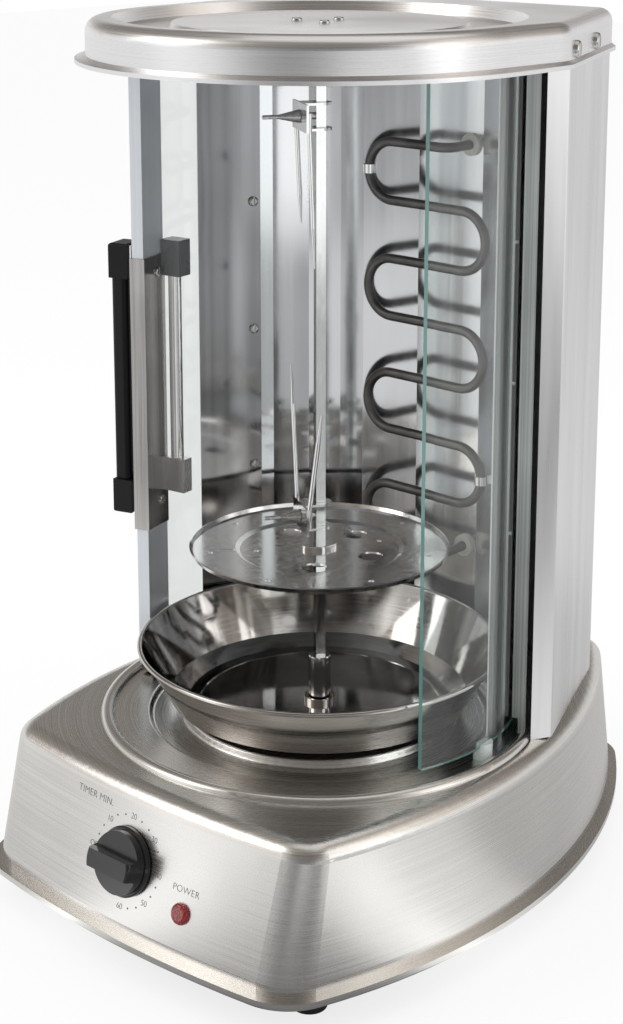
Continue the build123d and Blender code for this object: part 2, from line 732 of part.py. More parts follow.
with BuildPart() as base_plate:
    with BuildSketch(Plane.XY.offset(FOOT_H)):
        add(base_plan(LIP_WIDTH + SEAT_GAP, LIP_WIDTH + SEAT_GAP, LIP_WIDTH + SEAT_GAP))
        with Locations(*FEET, *ledge_points(), *BRIDGE_SCREWS, *BLOCK_SCREWS):
            Circle(SCREW_R, mode=Mode.SUBTRACT)
    extrude(amount=PLATE_T)
save(base_plate.part, "base_plate")

with BuildPart() as rubber_feet:
    with BuildSketch():
        with Locations(*FEET):
            Circle(FOOT_BOTTOM_R)
    extrude(amount=FOOT_H, taper=-degrees(atan2(FOOT_TOP_R - FOOT_BOTTOM_R, FOOT_H)))
    fillet(rubber_feet.faces().filter_by(Axis.Z).sort_by(Axis.Z)[:len(FEET)].edges(), SHEET)
    with BuildSketch():
        with Locations(*FEET):
            Circle(FOOT_WELL_R)
    extrude(amount=FOOT_WELL, mode=Mode.SUBTRACT)
    with BuildSketch():
        with Locations(*FEET):
            Circle(SCREW_R)
    extrude(amount=FOOT_H, mode=Mode.SUBTRACT)
save(rubber_feet.part, "rubber_feet")


def screws(planes, shank, name, head=HEAD_R, high=HEAD_H):
    """A set of equal pan head screws."""
    with BuildPart() as group:
        for plane in planes:
            add(pan_screw(plane, shank, head, high))
    save(group.part, name)


def looking_down(x, y, z):
    """Plane whose screw head hangs below z."""
    return Plane(origin=(x, y, z), x_dir=(1, 0, 0), z_dir=(0, 0, -1))


screws([looking_down(x, y, FOOT_WELL) for x, y in FEET], FOOT_H - FOOT_WELL + NUT_LENGTH, "foot_screws")
screws([looking_down(x, y, FOOT_H) for x, y in ledge_points()], PLATE_T + NUT_LENGTH,
       "plate_screws", PLATE_HEAD_R)


# Drive: bridge, motor, bush and the coupling that carries the spit
with BuildPart() as motor_bridge:
    with BuildSketch(Plane.XZ.offset(-BRIDGE_W / 2)):
        half = BRIDGE_SPAN / 2
        Polygon(
            *strip([(half + BRIDGE_FOOT, LEDGE_Z), (half, LEDGE_Z), (half, BRIDGE_Z),
                    (-half, BRIDGE_Z), (-half, LEDGE_Z), (-half - BRIDGE_FOOT, LEDGE_Z)][::-1], BRIDGE_T),
            align=None)
    extrude(amount=BRIDGE_W)
    with BuildSketch(Plane.XY.offset(BRIDGE_Z + BRIDGE_T)):
        Circle(MOTOR_SHAFT_R + SHEET)
        with Locations((-MOTOR_SCREW_REACH, 0), (MOTOR_SCREW_REACH, 0)):
            Circle(SCREW_R)
        with Locations(*BRIDGE_SCREWS):
            Circle(SCREW_R)
    extrude(amount=-BRIDGE_Z, mode=Mode.SUBTRACT)
save(motor_bridge.part, "motor_bridge")

with BuildPart() as drive_motor:
    with BuildSketch(Plane.XY.offset(BRIDGE_Z)):
        Circle(GEARBOX_R)
    extrude(amount=-GEARBOX_H)
    with BuildSketch(Plane.XY.offset(BRIDGE_Z - GEARBOX_H)):
        Circle(MOTOR_R)
    extrude(amount=-MOTOR_H)
    fillet(drive_motor.faces().sort_by(Axis.Z)[0].edges(), SHEET)
    with BuildSketch(Plane.XY.offset(BRIDGE_Z)):
        with Locations((-MOTOR_SCREW_REACH, 0), (MOTOR_SCREW_REACH, 0)):
            Circle(SCREW_R)
    extrude(amount=-NUT_LENGTH, mode=Mode.SUBTRACT)
    # bore that the output shaft turns in
    with BuildSketch(Plane.XY.offset(BRIDGE_Z)):
        Circle(MOTOR_SHAFT_R + RUN_GAP)
    extrude(amount=-GEARBOX_H / 2, mode=Mode.SUBTRACT)
save(drive_motor.part, "drive_motor")

screws([Plane(origin=(side * MOTOR_SCREW_REACH, 0, BRIDGE_Z + BRIDGE_T)) for side in (-1, 1)],
       BRIDGE_T + NUT_LENGTH - SEAT_GAP, "motor_screws")
screws([Plane(origin=(x, y, LEDGE_Z + BRIDGE_T)) for x, y in BRIDGE_SCREWS], BRIDGE_T + PLATE_T,
       "bridge_screws")

with BuildPart() as shaft_bush:
    with BuildSketch(Plane.XY.offset(DECK_Z + PLINTH_H - BUSH_DEEP)):
        Circle(BUSH_R)
    extrude(amount=BUSH_DEEP)
    with BuildSketch(Plane.XY.offset(DECK_Z + PLINTH_H)):
        Circle(BUSH_FLANGE_R)
    extrude(amount=BUSH_FLANGE_T)
    with BuildSketch(Plane.XY.offset(DECK_Z + PLINTH_H - BUSH_DEEP)):
        Circle(COUPLING_R + RUN_GAP)
    extrude(amount=BUSH_DEEP + BUSH_FLANGE_T, mode=Mode.SUBTRACT)
save(shaft_bush.part, "shaft_bush")

HUB_Z = DECK_Z + PLINTH_H + BUSH_FLANGE_T + SEAT_GAP
with BuildPart() as motor_coupling:
    with BuildSketch(Plane.XY.offset(COUPLING_Z)):
        Circle(COUPLING_R)
    extrude(amount=HUB_Z - COUPLING_Z)
    with BuildSketch(Plane.XY.offset(HUB_Z)):
        Circle(HUB_R)
    extrude(amount=HUB_TOP_Z - HUB_Z)
    chamfer(motor_coupling.faces().sort_by(Axis.Z)[-1].edges(), SEAT_GAP)
    with BuildSketch(Plane.XY.offset(HUB_TOP_Z)):
        Rectangle(BAR, BAR, rotation=SPIT_TURN)
    extrude(amount=STUB_Z - HUB_TOP_Z)
    with BuildSketch(Plane.XY.offset(COUPLING_Z)):
        Circle(MOTOR_SHAFT_R)
    extrude(amount=MOTOR_SHAFT_TOP_Z - COUPLING_Z, mode=Mode.SUBTRACT)
save(motor_coupling.part, "motor_coupling")

with BuildPart() as motor_shaft:
    with BuildSketch(Plane.XY.offset(BRIDGE_Z - GEARBOX_H / 2 + SEAT_GAP)):
        Circle(MOTOR_SHAFT_R)
    extrude(amount=MOTOR_SHAFT_TOP_Z - BRIDGE_Z + GEARBOX_H / 2 - SEAT_GAP)
save(motor_shaft.part, "motor_shaft")


# Spit: bar, socket with its grub screw, disc and hub
def square_bore(z, depth, gap):
    """Square hole that fits the bar with a gap on each side."""
    with BuildPart() as bore:
        with BuildSketch(Plane.XY.offset(z)):
            Rectangle(BAR + 2 * gap, BAR + 2 * gap, rotation=SPIT_TURN)
        extrude(amount=depth)
    return bore.part


def bar_plane(reach, across, z):
    """Plane that faces away from the bar on the thumb screw side."""
    turn = radians(SPIT_TURN)
    out = (-cos(turn), -sin(turn))
    side = (-sin(turn), cos(turn))
    return Plane(origin=(out[0] * reach + side[0] * across, out[1] * reach + side[1] * across, z),
                 x_dir=(side[0], side[1], 0), z_dir=(out[0], out[1], 0))


with BuildPart() as spit_rod:
    with BuildSketch(Plane.XY.offset(BAR_Z)):
        Rectangle(BAR, BAR, rotation=SPIT_TURN)
    extrude(amount=SPIT_TOP_Z - BAR_Z)
    chamfer(spit_rod.faces().sort_by(Axis.Z)[-1].edges(), SHEET)
save(spit_rod.part, "spit_rod")

with BuildPart() as drive_socket:
    with BuildSketch(Plane.XY.offset(HUB_TOP_Z + RUN_GAP)):
        Circle(SOCKET_R)
    extrude(amount=SOCKET_TOP_Z - HUB_TOP_Z - RUN_GAP)
    chamfer(drive_socket.faces().sort_by(Axis.Z)[-1].edges(), SHEET / 2)
    add(square_bore(HUB_TOP_Z, SOCKET_TOP_Z - HUB_TOP_Z, RUN_GAP), mode=Mode.SUBTRACT)
    with BuildSketch(bar_plane(BAR / 2, 0, GRUB_Z)):
        Circle(GRUB_R)
    extrude(amount=SOCKET_R, mode=Mode.SUBTRACT)
save(drive_socket.part, "drive_socket")

with BuildPart() as socket_screw:
    with BuildSketch(bar_plane(BAR / 2, 0, GRUB_Z)):
        Circle(GRUB_R)
    extrude(amount=SOCKET_R - BAR / 2)
    with BuildSketch(bar_plane(SOCKET_R, 0, GRUB_Z)):
        RegularPolygon(GRUB_HEX_R, HEX_SIDES)
    extrude(amount=-SHEET, mode=Mode.SUBTRACT)
save(socket_screw.part, "socket_screw")

DISC_PLATE_Z = DISC_Z - DISC_RIM
DISC_FLOOR_Z = DISC_PLATE_Z - DISC_STEP
with BuildPart() as spit_disc:
    with BuildSketch(Plane.XZ):
        Polygon(
            *strip([(HUB_SLEEVE_R, DISC_FLOOR_Z), (DISC_STEP_R - DISC_STEP, DISC_FLOOR_Z),
                    (DISC_STEP_R + DISC_STEP, DISC_PLATE_Z), (DISC_R - DISC_STEP, DISC_PLATE_Z),
                    (DISC_R, DISC_Z)], DISC_T)[::-1],
            align=None)
    revolve(axis=Axis.Z)
    with BuildSketch(Plane.XY.offset(DISC_Z)):
        for reach, turns, radius in (
            (LARGE_HOLE_REACH, LARGE_HOLE_TURNS, LARGE_HOLE_R),
            (SMALL_HOLE_REACH, SMALL_HOLE_TURNS, SMALL_HOLE_R),
            (INNER_HOLE_REACH, INNER_HOLE_TURNS, SMALL_HOLE_R),
        ):
            for turn in turns:
                with PolarLocations(reach, 1, start_angle=turn):
                    Circle(radius)
        with PolarLocations(SLIT_REACH, 1, start_angle=INNER_HOLE_TURNS[-1]):
            SlotOverall(SLIT_LONG, SLIT_WIDE)
    extrude(amount=-2 * DISC_RIM - 2 * DISC_T, mode=Mode.SUBTRACT)
save(spit_disc.part, "spit_disc")

with BuildPart() as disc_hub:
    with BuildSketch(Plane.XY.offset(DISC_FLOOR_Z)):
        Circle(HUB_SLEEVE_R)
    extrude(amount=DISC_T)
    with BuildSketch(Plane.XY.offset(DISC_FLOOR_Z + DISC_T)):
        Circle(HUB_PLATE_R)
        with PolarLocations(HUB_EAR_REACH, 2, start_angle=SPIT_TURN):
            Circle(HUB_EAR_R)
        make_hull()
    extrude(amount=HUB_PLATE_T)
    fillet(disc_hub.faces().sort_by(Axis.Z)[-1].edges(), SHEET)
    with BuildSketch(Plane.XY.offset(DISC_FLOOR_Z)):
        Circle(HUB_COLLAR_R)
    extrude(amount=-HUB_COLLAR_H)
    chamfer(disc_hub.faces().sort_by(Axis.Z)[0].edges(), SHEET)
    add(square_bore(DISC_FLOOR_Z - HUB_COLLAR_H, HUB_COLLAR_H + DISC_T + HUB_PLATE_T, RUN_GAP),
        mode=Mode.SUBTRACT)
save(disc_hub.part, "disc_hub")


# Meat forks and their thumb screws
def prong(base, tip):
    """Tapered pin between two points."""
    axis = Vector(*tip) - Vector(*base)
    start = Plane(origin=base, z_dir=axis)
    with BuildPart() as pin:
        with BuildSketch(start):
            Circle(PRONG_R)
        with BuildSketch(start.offset(axis.length * PRONG_STRAIGHT)):
            Circle(PRONG_R)
        loft()
        with BuildSketch(start.offset(axis.length * PRONG_STRAIGHT)):
            Circle(PRONG_R)
        with BuildSketch(start.offset(axis.length)):
            Circle(PRONG_TIP_R)
        loft()
    return pin.part


def bar_point(out, across, z):
    """Point in the frame of the bar: out on the bar side away from the thumb screw."""
    turn = radians(SPIT_TURN)
    return (out * cos(turn) - across * sin(turn), out * sin(turn) + across * cos(turn), z)


def fork(z_mid, tips, heights, up):
    """Channel bracket with two tongues round the bar and two prongs."""
    low = z_mid - FORK_TALL / 2
    turn = radians(SPIT_TURN)
    frame = Plane(origin=(0, 0, low), x_dir=(cos(turn), sin(turn), 0), z_dir=(0, 0, 1))
    with BuildPart() as body:
        with BuildSketch(frame):
            with Locations((-FORK_REACH - FORK_T / 2, 0)):
                Rectangle(FORK_T, 2 * FORK_HALF)
        extrude(amount=FORK_TALL)
        for level in (0, FORK_TALL - FORK_T):
            with BuildSketch(frame.offset(level)):
                with Locations((-FORK_REACH / 2 - FORK_T / 2, 0)):
                    Rectangle(FORK_REACH + FORK_T, 2 * TONGUE_HALF)
                Circle(TONGUE_HALF)
            extrude(amount=FORK_T)
        add(square_bore(low, FORK_TALL, SEAT_GAP), mode=Mode.SUBTRACT)
        with BuildSketch(bar_plane(FORK_REACH, 0, z_mid)):
            Circle(THUMB_R + RUN_GAP)
        extrude(amount=FORK_T, mode=Mode.SUBTRACT)
        for side, tip, height in zip((-1, 1), tips, heights):
            root = bar_point(-FORK_REACH + PRONG_R / 2, side * (FORK_HALF - PRONG_R),
                             z_mid - up * FORK_TALL / 2)
            add(prong(root, bar_point(tip[0], tip[1], height)))
            with BuildSketch(Plane(origin=root)):
                Circle(PRONG_R)
            extrude(amount=up * PRONG_SEAT)
    return body.part


def thumb_screw(z):
    """Screw that clamps a fork: shank, knurled cone and pin."""
    with BuildPart() as screw:
        with BuildSketch(bar_plane(BAR / 2 + RUN_GAP, 0, z)):
            Circle(THUMB_R)
        extrude(amount=FORK_REACH + FORK_T - BAR / 2 + SEAT_GAP)
        with BuildSketch(bar_plane(FORK_REACH + FORK_T + SEAT_GAP, 0, z)):
            Circle(THUMB_HEAD_R)
        with BuildSketch(bar_plane(FORK_REACH + FORK_T + THUMB_HEAD_LONG, 0, z)):
            Circle(THUMB_PIN_R)
        loft()
        with BuildSketch(bar_plane(FORK_REACH + FORK_T + THUMB_HEAD_LONG, 0, z)):
            Circle(THUMB_PIN_R)
        extrude(amount=THUMB_PIN_LONG)
        fillet(screw.faces().sort_by(Axis((0, 0, z), bar_plane(0, 0, z).z_dir))[-1].edges(), THUMB_PIN_R / 2)
    return screw.part


UPPER_TIP_Z = [UPPER_FORK_Z - drop for drop in UPPER_PRONG_DROPS]
LOWER_TIP_Z = [LOWER_FORK_Z + rise for rise in LOWER_PRONG_RISES]
save(fork(UPPER_FORK_Z, UPPER_PRONG_TIPS, UPPER_TIP_Z, 1), "upper_fork")
save(fork(LOWER_FORK_Z, LOWER_PRONG_TIPS, LOWER_TIP_Z, -1), "lower_fork")
save(thumb_screw(UPPER_FORK_Z), "upper_fork_screw")
save(thumb_screw(LOWER_FORK_Z), "lower_fork_screw")


# Drip tray: spun bowl with a rolled rim, a foot ring and a collar round the drive
TRAY_FLOOR_Z = DECK_Z + PLINTH_H + TRAY_LIFT_FOOT
with BuildPart() as drip_tray:
    with BuildSketch(Plane.XZ):
        Polygon(
            *strip([(TRAY_HOLE_R, TRAY_FLOOR_Z + TRAY_COLLAR_H), (TRAY_HOLE_R, TRAY_FLOOR_Z),
                    (TRAY_FOOT_R - TRAY_LIFT_FOOT, TRAY_FLOOR_Z), (TRAY_FOOT_R, DECK_Z + PLINTH_H),
                    (TRAY_FOOT_R + TRAY_LIFT_FOOT, TRAY_FLOOR_Z),
                    (TRAY_FLOOR_R, TRAY_FLOOR_Z + TRAY_LIFT_FOOT),
                    (TRAY_WALL_R, TRAY_WALL_Z), (TRAY_RIM_R - TRAY_ROLL_R, TRAY_RIM_Z - TRAY_ROLL_R)],
                   TRAY_SHEET),
            align=None)
        with Locations((TRAY_RIM_R - TRAY_ROLL_R / 2, TRAY_RIM_Z - TRAY_ROLL_R)):
            Circle(TRAY_ROLL_R)
    revolve(axis=Axis.Z)
save(drip_tray.part, "drip_tray")


# Controls: timer with its shaft and knob, indicator lamp, terminal block and cable gland
with BuildPart() as timer_body:
    with BuildSketch(FASCIA_PLANE.offset(-TIMER_SEAT)):
        RectangleRounded(TIMER_W, TIMER_TALL, TIMER_ROUND)
        Circle(TIMER_SHAFT_R + RUN_GAP, mode=Mode.SUBTRACT)
        with Locations((-TIMER_SCREW_REACH, 0), (TIMER_SCREW_REACH, 0)):
            Circle(SCREW_R, mode=Mode.SUBTRACT)
    extrude(amount=-TIMER_SHAFT_DEEP)
    with BuildSketch(FASCIA_PLANE.offset(-TIMER_SEAT - TIMER_SHAFT_DEEP)):
        RectangleRounded(TIMER_W, TIMER_TALL, TIMER_ROUND)
    extrude(amount=TIMER_SHAFT_DEEP - TIMER_DEEP)
save(timer_body.part, "timer_body")

screws([on_plane(FASCIA_PLANE, side * TIMER_SCREW_REACH, 0) for side in (-1, 1)],
       TIMER_SHAFT_DEEP - SEAT_GAP, "timer_screws", TIMER_HEAD_R)

with BuildPart() as timer_shaft:
    with BuildSketch(FASCIA_PLANE.offset(-TIMER_SEAT - TIMER_SHAFT_DEEP + SEAT_GAP)):
        Circle(TIMER_SHAFT_R)
    extrude(amount=TIMER_SEAT + TIMER_SHAFT_DEEP + KNOB_SHAFT_TOP)
save(timer_shaft.part, "timer_shaft")

with BuildPart() as timer_knob:
    with BuildSketch(FASCIA_PLANE.offset(KNOB_GAP)):
        Circle(KNOB_R)
    extrude(amount=KNOB_SKIRT_T)
    chamfer(timer_knob.faces().sort_by(Axis(FASCIA_PLANE.origin, FASCIA_PLANE.z_dir))[-1].edges(), SHEET)
    with BuildSketch(FASCIA_PLANE.offset(KNOB_GAP + KNOB_SKIRT_T)):
        Circle(KNOB_BODY_R)
    extrude(amount=KNOB_BAR_H - KNOB_SKIRT_T, taper=KNOB_DRAFT)
    fillet(timer_knob.faces().sort_by(Axis(FASCIA_PLANE.origin, FASCIA_PLANE.z_dir))[-1].edges(), KNOB_EDGE)
    # scooped sides that leave the finger bar across the middle
    side_view = Plane(origin=on_plane(FASCIA_PLANE, -KNOB_R, 0).origin, x_dir=FASCIA_PLANE.y_dir,
                      z_dir=FASCIA_PLANE.x_dir)
    for side in (-1, 1):
        with BuildSketch(side_view):
            Polygon((side * KNOB_BAR_W / 2, KNOB_GAP + KNOB_BODY_TOP + KNOB_SCOOP[0]),
                    (side * (KNOB_BAR_W / 2 + KNOB_SCOOP[1]), KNOB_GAP + KNOB_BODY_TOP),
                    (side * KNOB_R, KNOB_GAP + KNOB_BODY_TOP - KNOB_SCOOP[1]),
                    (side * KNOB_R, 2 * KNOB_BAR_H),
                    (side * (KNOB_BAR_W / 2 - KNOB_SCOOP[1]), 2 * KNOB_BAR_H), align=None)
        extrude(amount=2 * KNOB_R, mode=Mode.SUBTRACT)
    # hollow underside with a boss round the shaft
    with BuildSketch(FASCIA_PLANE.offset(KNOB_GAP)):
        Circle(KNOB_BODY_R - KNOB_SHELL)
        Circle(KNOB_HUB_R, mode=Mode.SUBTRACT)
    extrude(amount=KNOB_HOLLOW, mode=Mode.SUBTRACT)
    with BuildSketch(FASCIA_PLANE.offset(KNOB_GAP)):
        Circle(TIMER_SHAFT_R)
    extrude(amount=KNOB_SHAFT_TOP - KNOB_GAP + SEAT_GAP, mode=Mode.SUBTRACT)
save(timer_knob.part, "timer_knob")

with BuildPart() as lamp_lens:
    with BuildSketch(LAMP_PLANE):
        Circle(LAMP_R)
    extrude(amount=LAMP_DOME)
    fillet(lamp_lens.faces().sort_by(Axis(LAMP_PLANE.origin, LAMP_PLANE.z_dir))[-1].edges(), LAMP_ROUND)
    with BuildSketch(LAMP_PLANE):
        Circle(LAMP_STEM_R)
    extrude(amount=-LAMP_SEAT - SHEET)
save(lamp_lens.part, "lamp_lens")

with BuildPart() as lamp_body:
    with BuildSketch(LAMP_PLANE.offset(-LAMP_SEAT)):
        Circle(LAMP_BODY_R)
    extrude(amount=-LAMP_BODY_LONG)
    with BuildSketch(LAMP_PLANE.offset(-LAMP_SEAT)):
        Circle(LAMP_STEM_R)
    extrude(amount=-SHEET, mode=Mode.SUBTRACT)
    with BuildSketch(LAMP_PLANE.offset(-LAMP_SEAT - LAMP_BODY_LONG)):
        with Locations((-LAMP_BODY_R / 2, 0), (LAMP_BODY_R / 2, 0)):
            Rectangle(SHEET, 2 * SHEET)
    extrude(amount=-LAMP_BODY_R)
save(lamp_body.part, "lamp_body")

with BuildPart() as terminal_block:
    with BuildSketch(Plane.XY.offset(LEDGE_Z)):
        with Locations((BLOCK_X, BLOCK_Y)):
            RectangleRounded(BLOCK_W, BLOCK_D, SHEET)
    extrude(amount=BLOCK_H)
    with BuildSketch(Plane.XY.offset(LEDGE_Z + BLOCK_H)):
        with Locations((BLOCK_X, BLOCK_Y)):
            with GridLocations(BLOCK_PITCH, BLOCK_ROW, 3, 2):
                Circle(SCREW_R)
    extrude(amount=-BLOCK_H / 2, mode=Mode.SUBTRACT)
save(terminal_block.part, "terminal_block")

with BuildPart() as cable_gland:
    with BuildSketch(REAR_PLANE):
        RegularPolygon(GLAND_FLANGE_R, HEX_SIDES)
    extrude(amount=GLAND_FLANGE_T)
    with BuildSketch(REAR_PLANE.offset(GLAND_FLANGE_T)):
        Circle(GLAND_R)
    extrude(amount=GLAND_NECK - GLAND_FLANGE_T, taper=GLAND_DRAFT)
    with BuildSketch(REAR_PLANE):
        Circle(GLAND_R)
    extrude(amount=-GLAND_NECK)
    with BuildSketch(REAR_PLANE.offset(GLAND_NECK)):
        Circle(GLAND_BORE_R)
    extrude(amount=-2 * GLAND_NECK, mode=Mode.SUBTRACT)
save(cable_gland.part, "cable_gland")


def lid_side(side, y):
    """Plane on the outer face of the lid's side, at a screw."""
    x = side_point(y, LID_SHEET)[0]
    return Plane(origin=(side * x, y, LID_SCREW_Z), x_dir=(0, 0, 1),
                 z_dir=(side * SIDE_OUT[0], SIDE_OUT[1], 0))


LID_SCREWS = [lid_side(side, y) for side in (-1, 1) for y in LID_SCREW_Y]


# Column casing: outer wall behind the chamber, standing on the deck by four tabs
CASE_RETURN = (CASE_FRONT[0] - CASE_LIP_LEAN, CASE_FRONT[1] + CASE_LIP)
CASE_LINE = [CASE_RETURN, CASE_FRONT, CASE_CORNER, CASE_REAR]
with BuildPart() as rear_casing:
    add(bent_wall(CASE_LINE + mirrored(CASE_LINE), SHEET, {3: CASE_REAR_CORNER, 2: CASE_BEND},
                  DECK_Z, CASE_TOP_Z))
    with BuildSketch(Plane.XY.offset(DECK_Z)):
        for x, y, turn in case_tabs():
            with Locations(Location((x, y, 0), (0, 0, turn))):
                Rectangle(CASE_FOOT - SHEET / 2, CASE_TAB_LONG)
    extrude(amount=SHEET)
    with BuildSketch(Plane.XY.offset(DECK_Z)):
        with Locations(*[(x, y) for x, y, turn in case_tabs()]):
            Circle(SCREW_R)
    extrude(amount=SHEET, mode=Mode.SUBTRACT)
    for plane in LID_SCREWS:
        with BuildSketch(plane):
            Circle(SCREW_R)
        extrude(amount=-CUT, mode=Mode.SUBTRACT)
save(rear_casing.part, "rear_casing")
screws([Plane(origin=(x, y, DECK_Z + SHEET)) for x, y, turn in case_tabs()], SHEET + 2 * BASE_SHEET,
       "casing_screws")


# Reflectors: polished chamber walls in five pieces
PANEL_LONG = hypot(PANEL_FRONT[0] - PANEL_REAR[0], PANEL_FRONT[1] - PANEL_REAR[1])
PANEL_ALONG = ((PANEL_FRONT[0] - PANEL_REAR[0]) / PANEL_LONG, (PANEL_FRONT[1] - PANEL_REAR[1]) / PANEL_LONG)
PANEL_OUT = (-PANEL_ALONG[1], PANEL_ALONG[0])


def panel_point(along, out):
    """Plan point on the right side panel, measured from its rear edge."""
    return (PANEL_REAR[0] + PANEL_ALONG[0] * along + PANEL_OUT[0] * out,
            PANEL_REAR[1] + PANEL_ALONG[1] * along + PANEL_OUT[1] * out)


def panel_screws(side):
    """Planes of the panel screws on one side, heads into the chamber."""
    x, y = panel_point(PANEL_SCREW_INSET, 0)
    return [Plane(origin=(side * x, y, z), x_dir=(0, 0, 1), z_dir=(-side * PANEL_OUT[0], -PANEL_OUT[1], 0))
            for z in PANEL_SCREW_Z]


def drilled(sheet, planes, radius):
    """The sheet with a hole on each plane."""
    with BuildPart() as plate:
        add(sheet)
        for plane in planes:
            with BuildSketch(plane.offset(SHEET)):
                Circle(radius)
            extrude(amount=-CUT - SHEET, mode=Mode.SUBTRACT)
    return plate.part


PANEL_LINE = [PANEL_REAR, PANEL_FRONT]
CORNER_LINE = [CORNER_START, CORNER_END, CORNER_MID, CORNER_STEP, panel_point(0, WALL_T),
               panel_point(LAP_LONG, WALL_T)]
NICHE_LINE = [NICHE_EDGE, NICHE_BACK]
for side, name, turn in ((1, "right", list), (-1, "left", mirrored)):
    panel = wall(turn(PANEL_LINE), WALL_T, DECK_Z, CEILING_Z)
    corner = wall(turn(CORNER_LINE), WALL_T, DECK_Z, CEILING_Z)
    save(drilled(panel, panel_screws(side), SCREW_R), f"reflector_side_{name}")
    save(drilled(corner, panel_screws(side), SCREW_R), f"reflector_corner_{name}")
screws(panel_screws(1) + panel_screws(-1), 2 * WALL_T + SHEET, "reflector_screws", PANEL_HEAD_R)

TOP_LEG_Z = LOW_LEG_Z + (LEGS - 1) * LEG_PITCH
TERMINALS = [Plane(origin=(HEATER_TAIL_X, NICHE_BACK[1], z), x_dir=(1, 0, 0), z_dir=(0, 1, 0))
             for z in (LOW_LEG_Z, TOP_LEG_Z)]
with BuildPart() as reflector_rear:
    add(wall([(-x, y) for x, y in NICHE_LINE] + NICHE_LINE[::-1], WALL_T, NICHE_Z, CEILING_Z))
    for plane in TERMINALS:
        with BuildSketch(plane):
            Circle(CERAMIC_R)
        extrude(amount=2 * WALL_T, both=True, mode=Mode.SUBTRACT)
save(reflector_rear.part, "reflector_rear")


# Heater: one tube bent to and fro, its two ends led back through the niche wall
BEND_R = LEG_PITCH / 2
BEND_X = HEATER_HALF - BEND_R


def leg_end(x, z):
    return (x, HEATER_Y, z)


def tail(z):
    """Centreline corner points of a tube end: rear end, start of the bend, its middle and its finish."""
    cut = TAIL_BEND * (1 - 1 / sqrt(2))
    return ((HEATER_TAIL_X, HEATER_TAIL_Y, z), (HEATER_TAIL_X, HEATER_Y + TAIL_BEND, z),
            (HEATER_TAIL_X - cut, HEATER_Y + cut, z), leg_end(HEATER_TAIL_X - TAIL_BEND, z))


with BuildPart() as heating_element:
    with BuildLine() as tube_line:
        rear, start, middle, finish = tail(LOW_LEG_Z)
        Line(rear, start)
        ThreePointArc(start, middle, finish)
        Line(finish, leg_end(-BEND_X, LOW_LEG_Z))
        for leg in range(LEGS - 1):
            z = LOW_LEG_Z + leg * LEG_PITCH
            side = -1 if leg % 2 == 0 else 1
            ThreePointArc(leg_end(side * BEND_X, z), leg_end(side * HEATER_HALF, z + BEND_R),
                          leg_end(side * BEND_X, z + LEG_PITCH))
            if leg < LEGS - 2:
                Line(leg_end(side * BEND_X, z + LEG_PITCH), leg_end(-side * BEND_X, z + LEG_PITCH))
        rear, start, middle, finish = tail(TOP_LEG_Z)
        Line(leg_end(-BEND_X, TOP_LEG_Z), finish)
        ThreePointArc(finish, middle, start)
        Line(start, rear)
    with BuildSketch(Plane(origin=tail(LOW_LEG_Z)[0], z_dir=(0, -1, 0))):
        Circle(TUBE_R)
    sweep(path=tube_line.line)
    for z in (LOW_LEG_Z, TOP_LEG_Z):
        with BuildSketch(Plane(origin=tail(z)[0], z_dir=(0, 1, 0))):
            Circle(TUBE_R / 2)
        extrude(amount=2 * TUBE_R)
save(heating_element.part, "heating_element")

with BuildPart() as heater_terminals:
    for plane in TERMINALS:
        with BuildSketch(plane):
            Circle(CERAMIC_FLANGE_R)
            Circle(TUBE_R, mode=Mode.SUBTRACT)
        extrude(amount=-CERAMIC_FLANGE_T)
        with BuildSketch(plane):
            Circle(CERAMIC_R)
            Circle(TUBE_R, mode=Mode.SUBTRACT)
        extrude(amount=CERAMIC_LONG)
save(heater_terminals.part, "heater_terminals")


def heater_clip(side, z):
    """Band round a bend of the tube with a tab back to the niche wall."""
    run = (NICHE_EDGE[0] - NICHE_BACK[0], NICHE_EDGE[1] - NICHE_BACK[1])
    length = hypot(*run)
    out = (-run[1] / length, run[0] / length)
    reach = abs((NICHE_EDGE[0] - HEATER_HALF) * out[0] + (NICHE_EDGE[1] - HEATER_Y) * out[1])
    ring = TUBE_R + SEAT_GAP + CLIP_T / 2
    start = (side * (HEATER_HALF + abs(out[0]) * ring), HEATER_Y + abs(out[1]) * ring)
    end = (side * (HEATER_HALF + abs(out[0]) * reach), HEATER_Y + abs(out[1]) * reach)
    with BuildPart() as clip:
        with BuildSketch(Plane.XY.offset(z - CLIP_WIDE / 2)):
            Polygon(*strip([start, end], CLIP_T), align=None)
            with Locations((side * HEATER_HALF, HEATER_Y)):
                Circle(TUBE_R + SEAT_GAP + CLIP_T)
                Circle(TUBE_R + SEAT_GAP, mode=Mode.SUBTRACT)
        extrude(amount=CLIP_WIDE)
    return clip.part


with BuildPart() as heater_clips:
    add(heater_clip(-1, TOP_LEG_Z - BEND_R))
    add(heater_clip(1, LOW_LEG_Z + LEG_PITCH + BEND_R))
save(heater_clips.part, "heater_clips")


# Lid: pressed cover with a sunk top, its ceiling plate, stand-offs and the door track
def lid_plan(front, side):
    """Plan of the lid, grown at the front arc and at the straight sides."""
    reach = LID_R + front
    lap = LID_SHEET + side
    corner = side_point(LID_CORNER_Y, lap)
    rear = side_point(CASE_REAR[1] + lap, lap)
    with BuildSketch(mode=Mode.PRIVATE) as plan:
        with BuildLine():
            ThreePointArc((-reach, 0), (0, -reach), (reach, 0))
            Polyline((reach, 0), corner, rear, (-rear[0], rear[1]), (-corner[0], corner[1]), (-reach, 0))
        make_face()
        fillet(near(plan, reach, 0), LID_SIDE_R)
        fillet(near(plan, *corner), LID_CORNER_R + side)
        fillet(near(plan, *rear), CASE_REAR_CORNER + lap)
    return plan.sketch


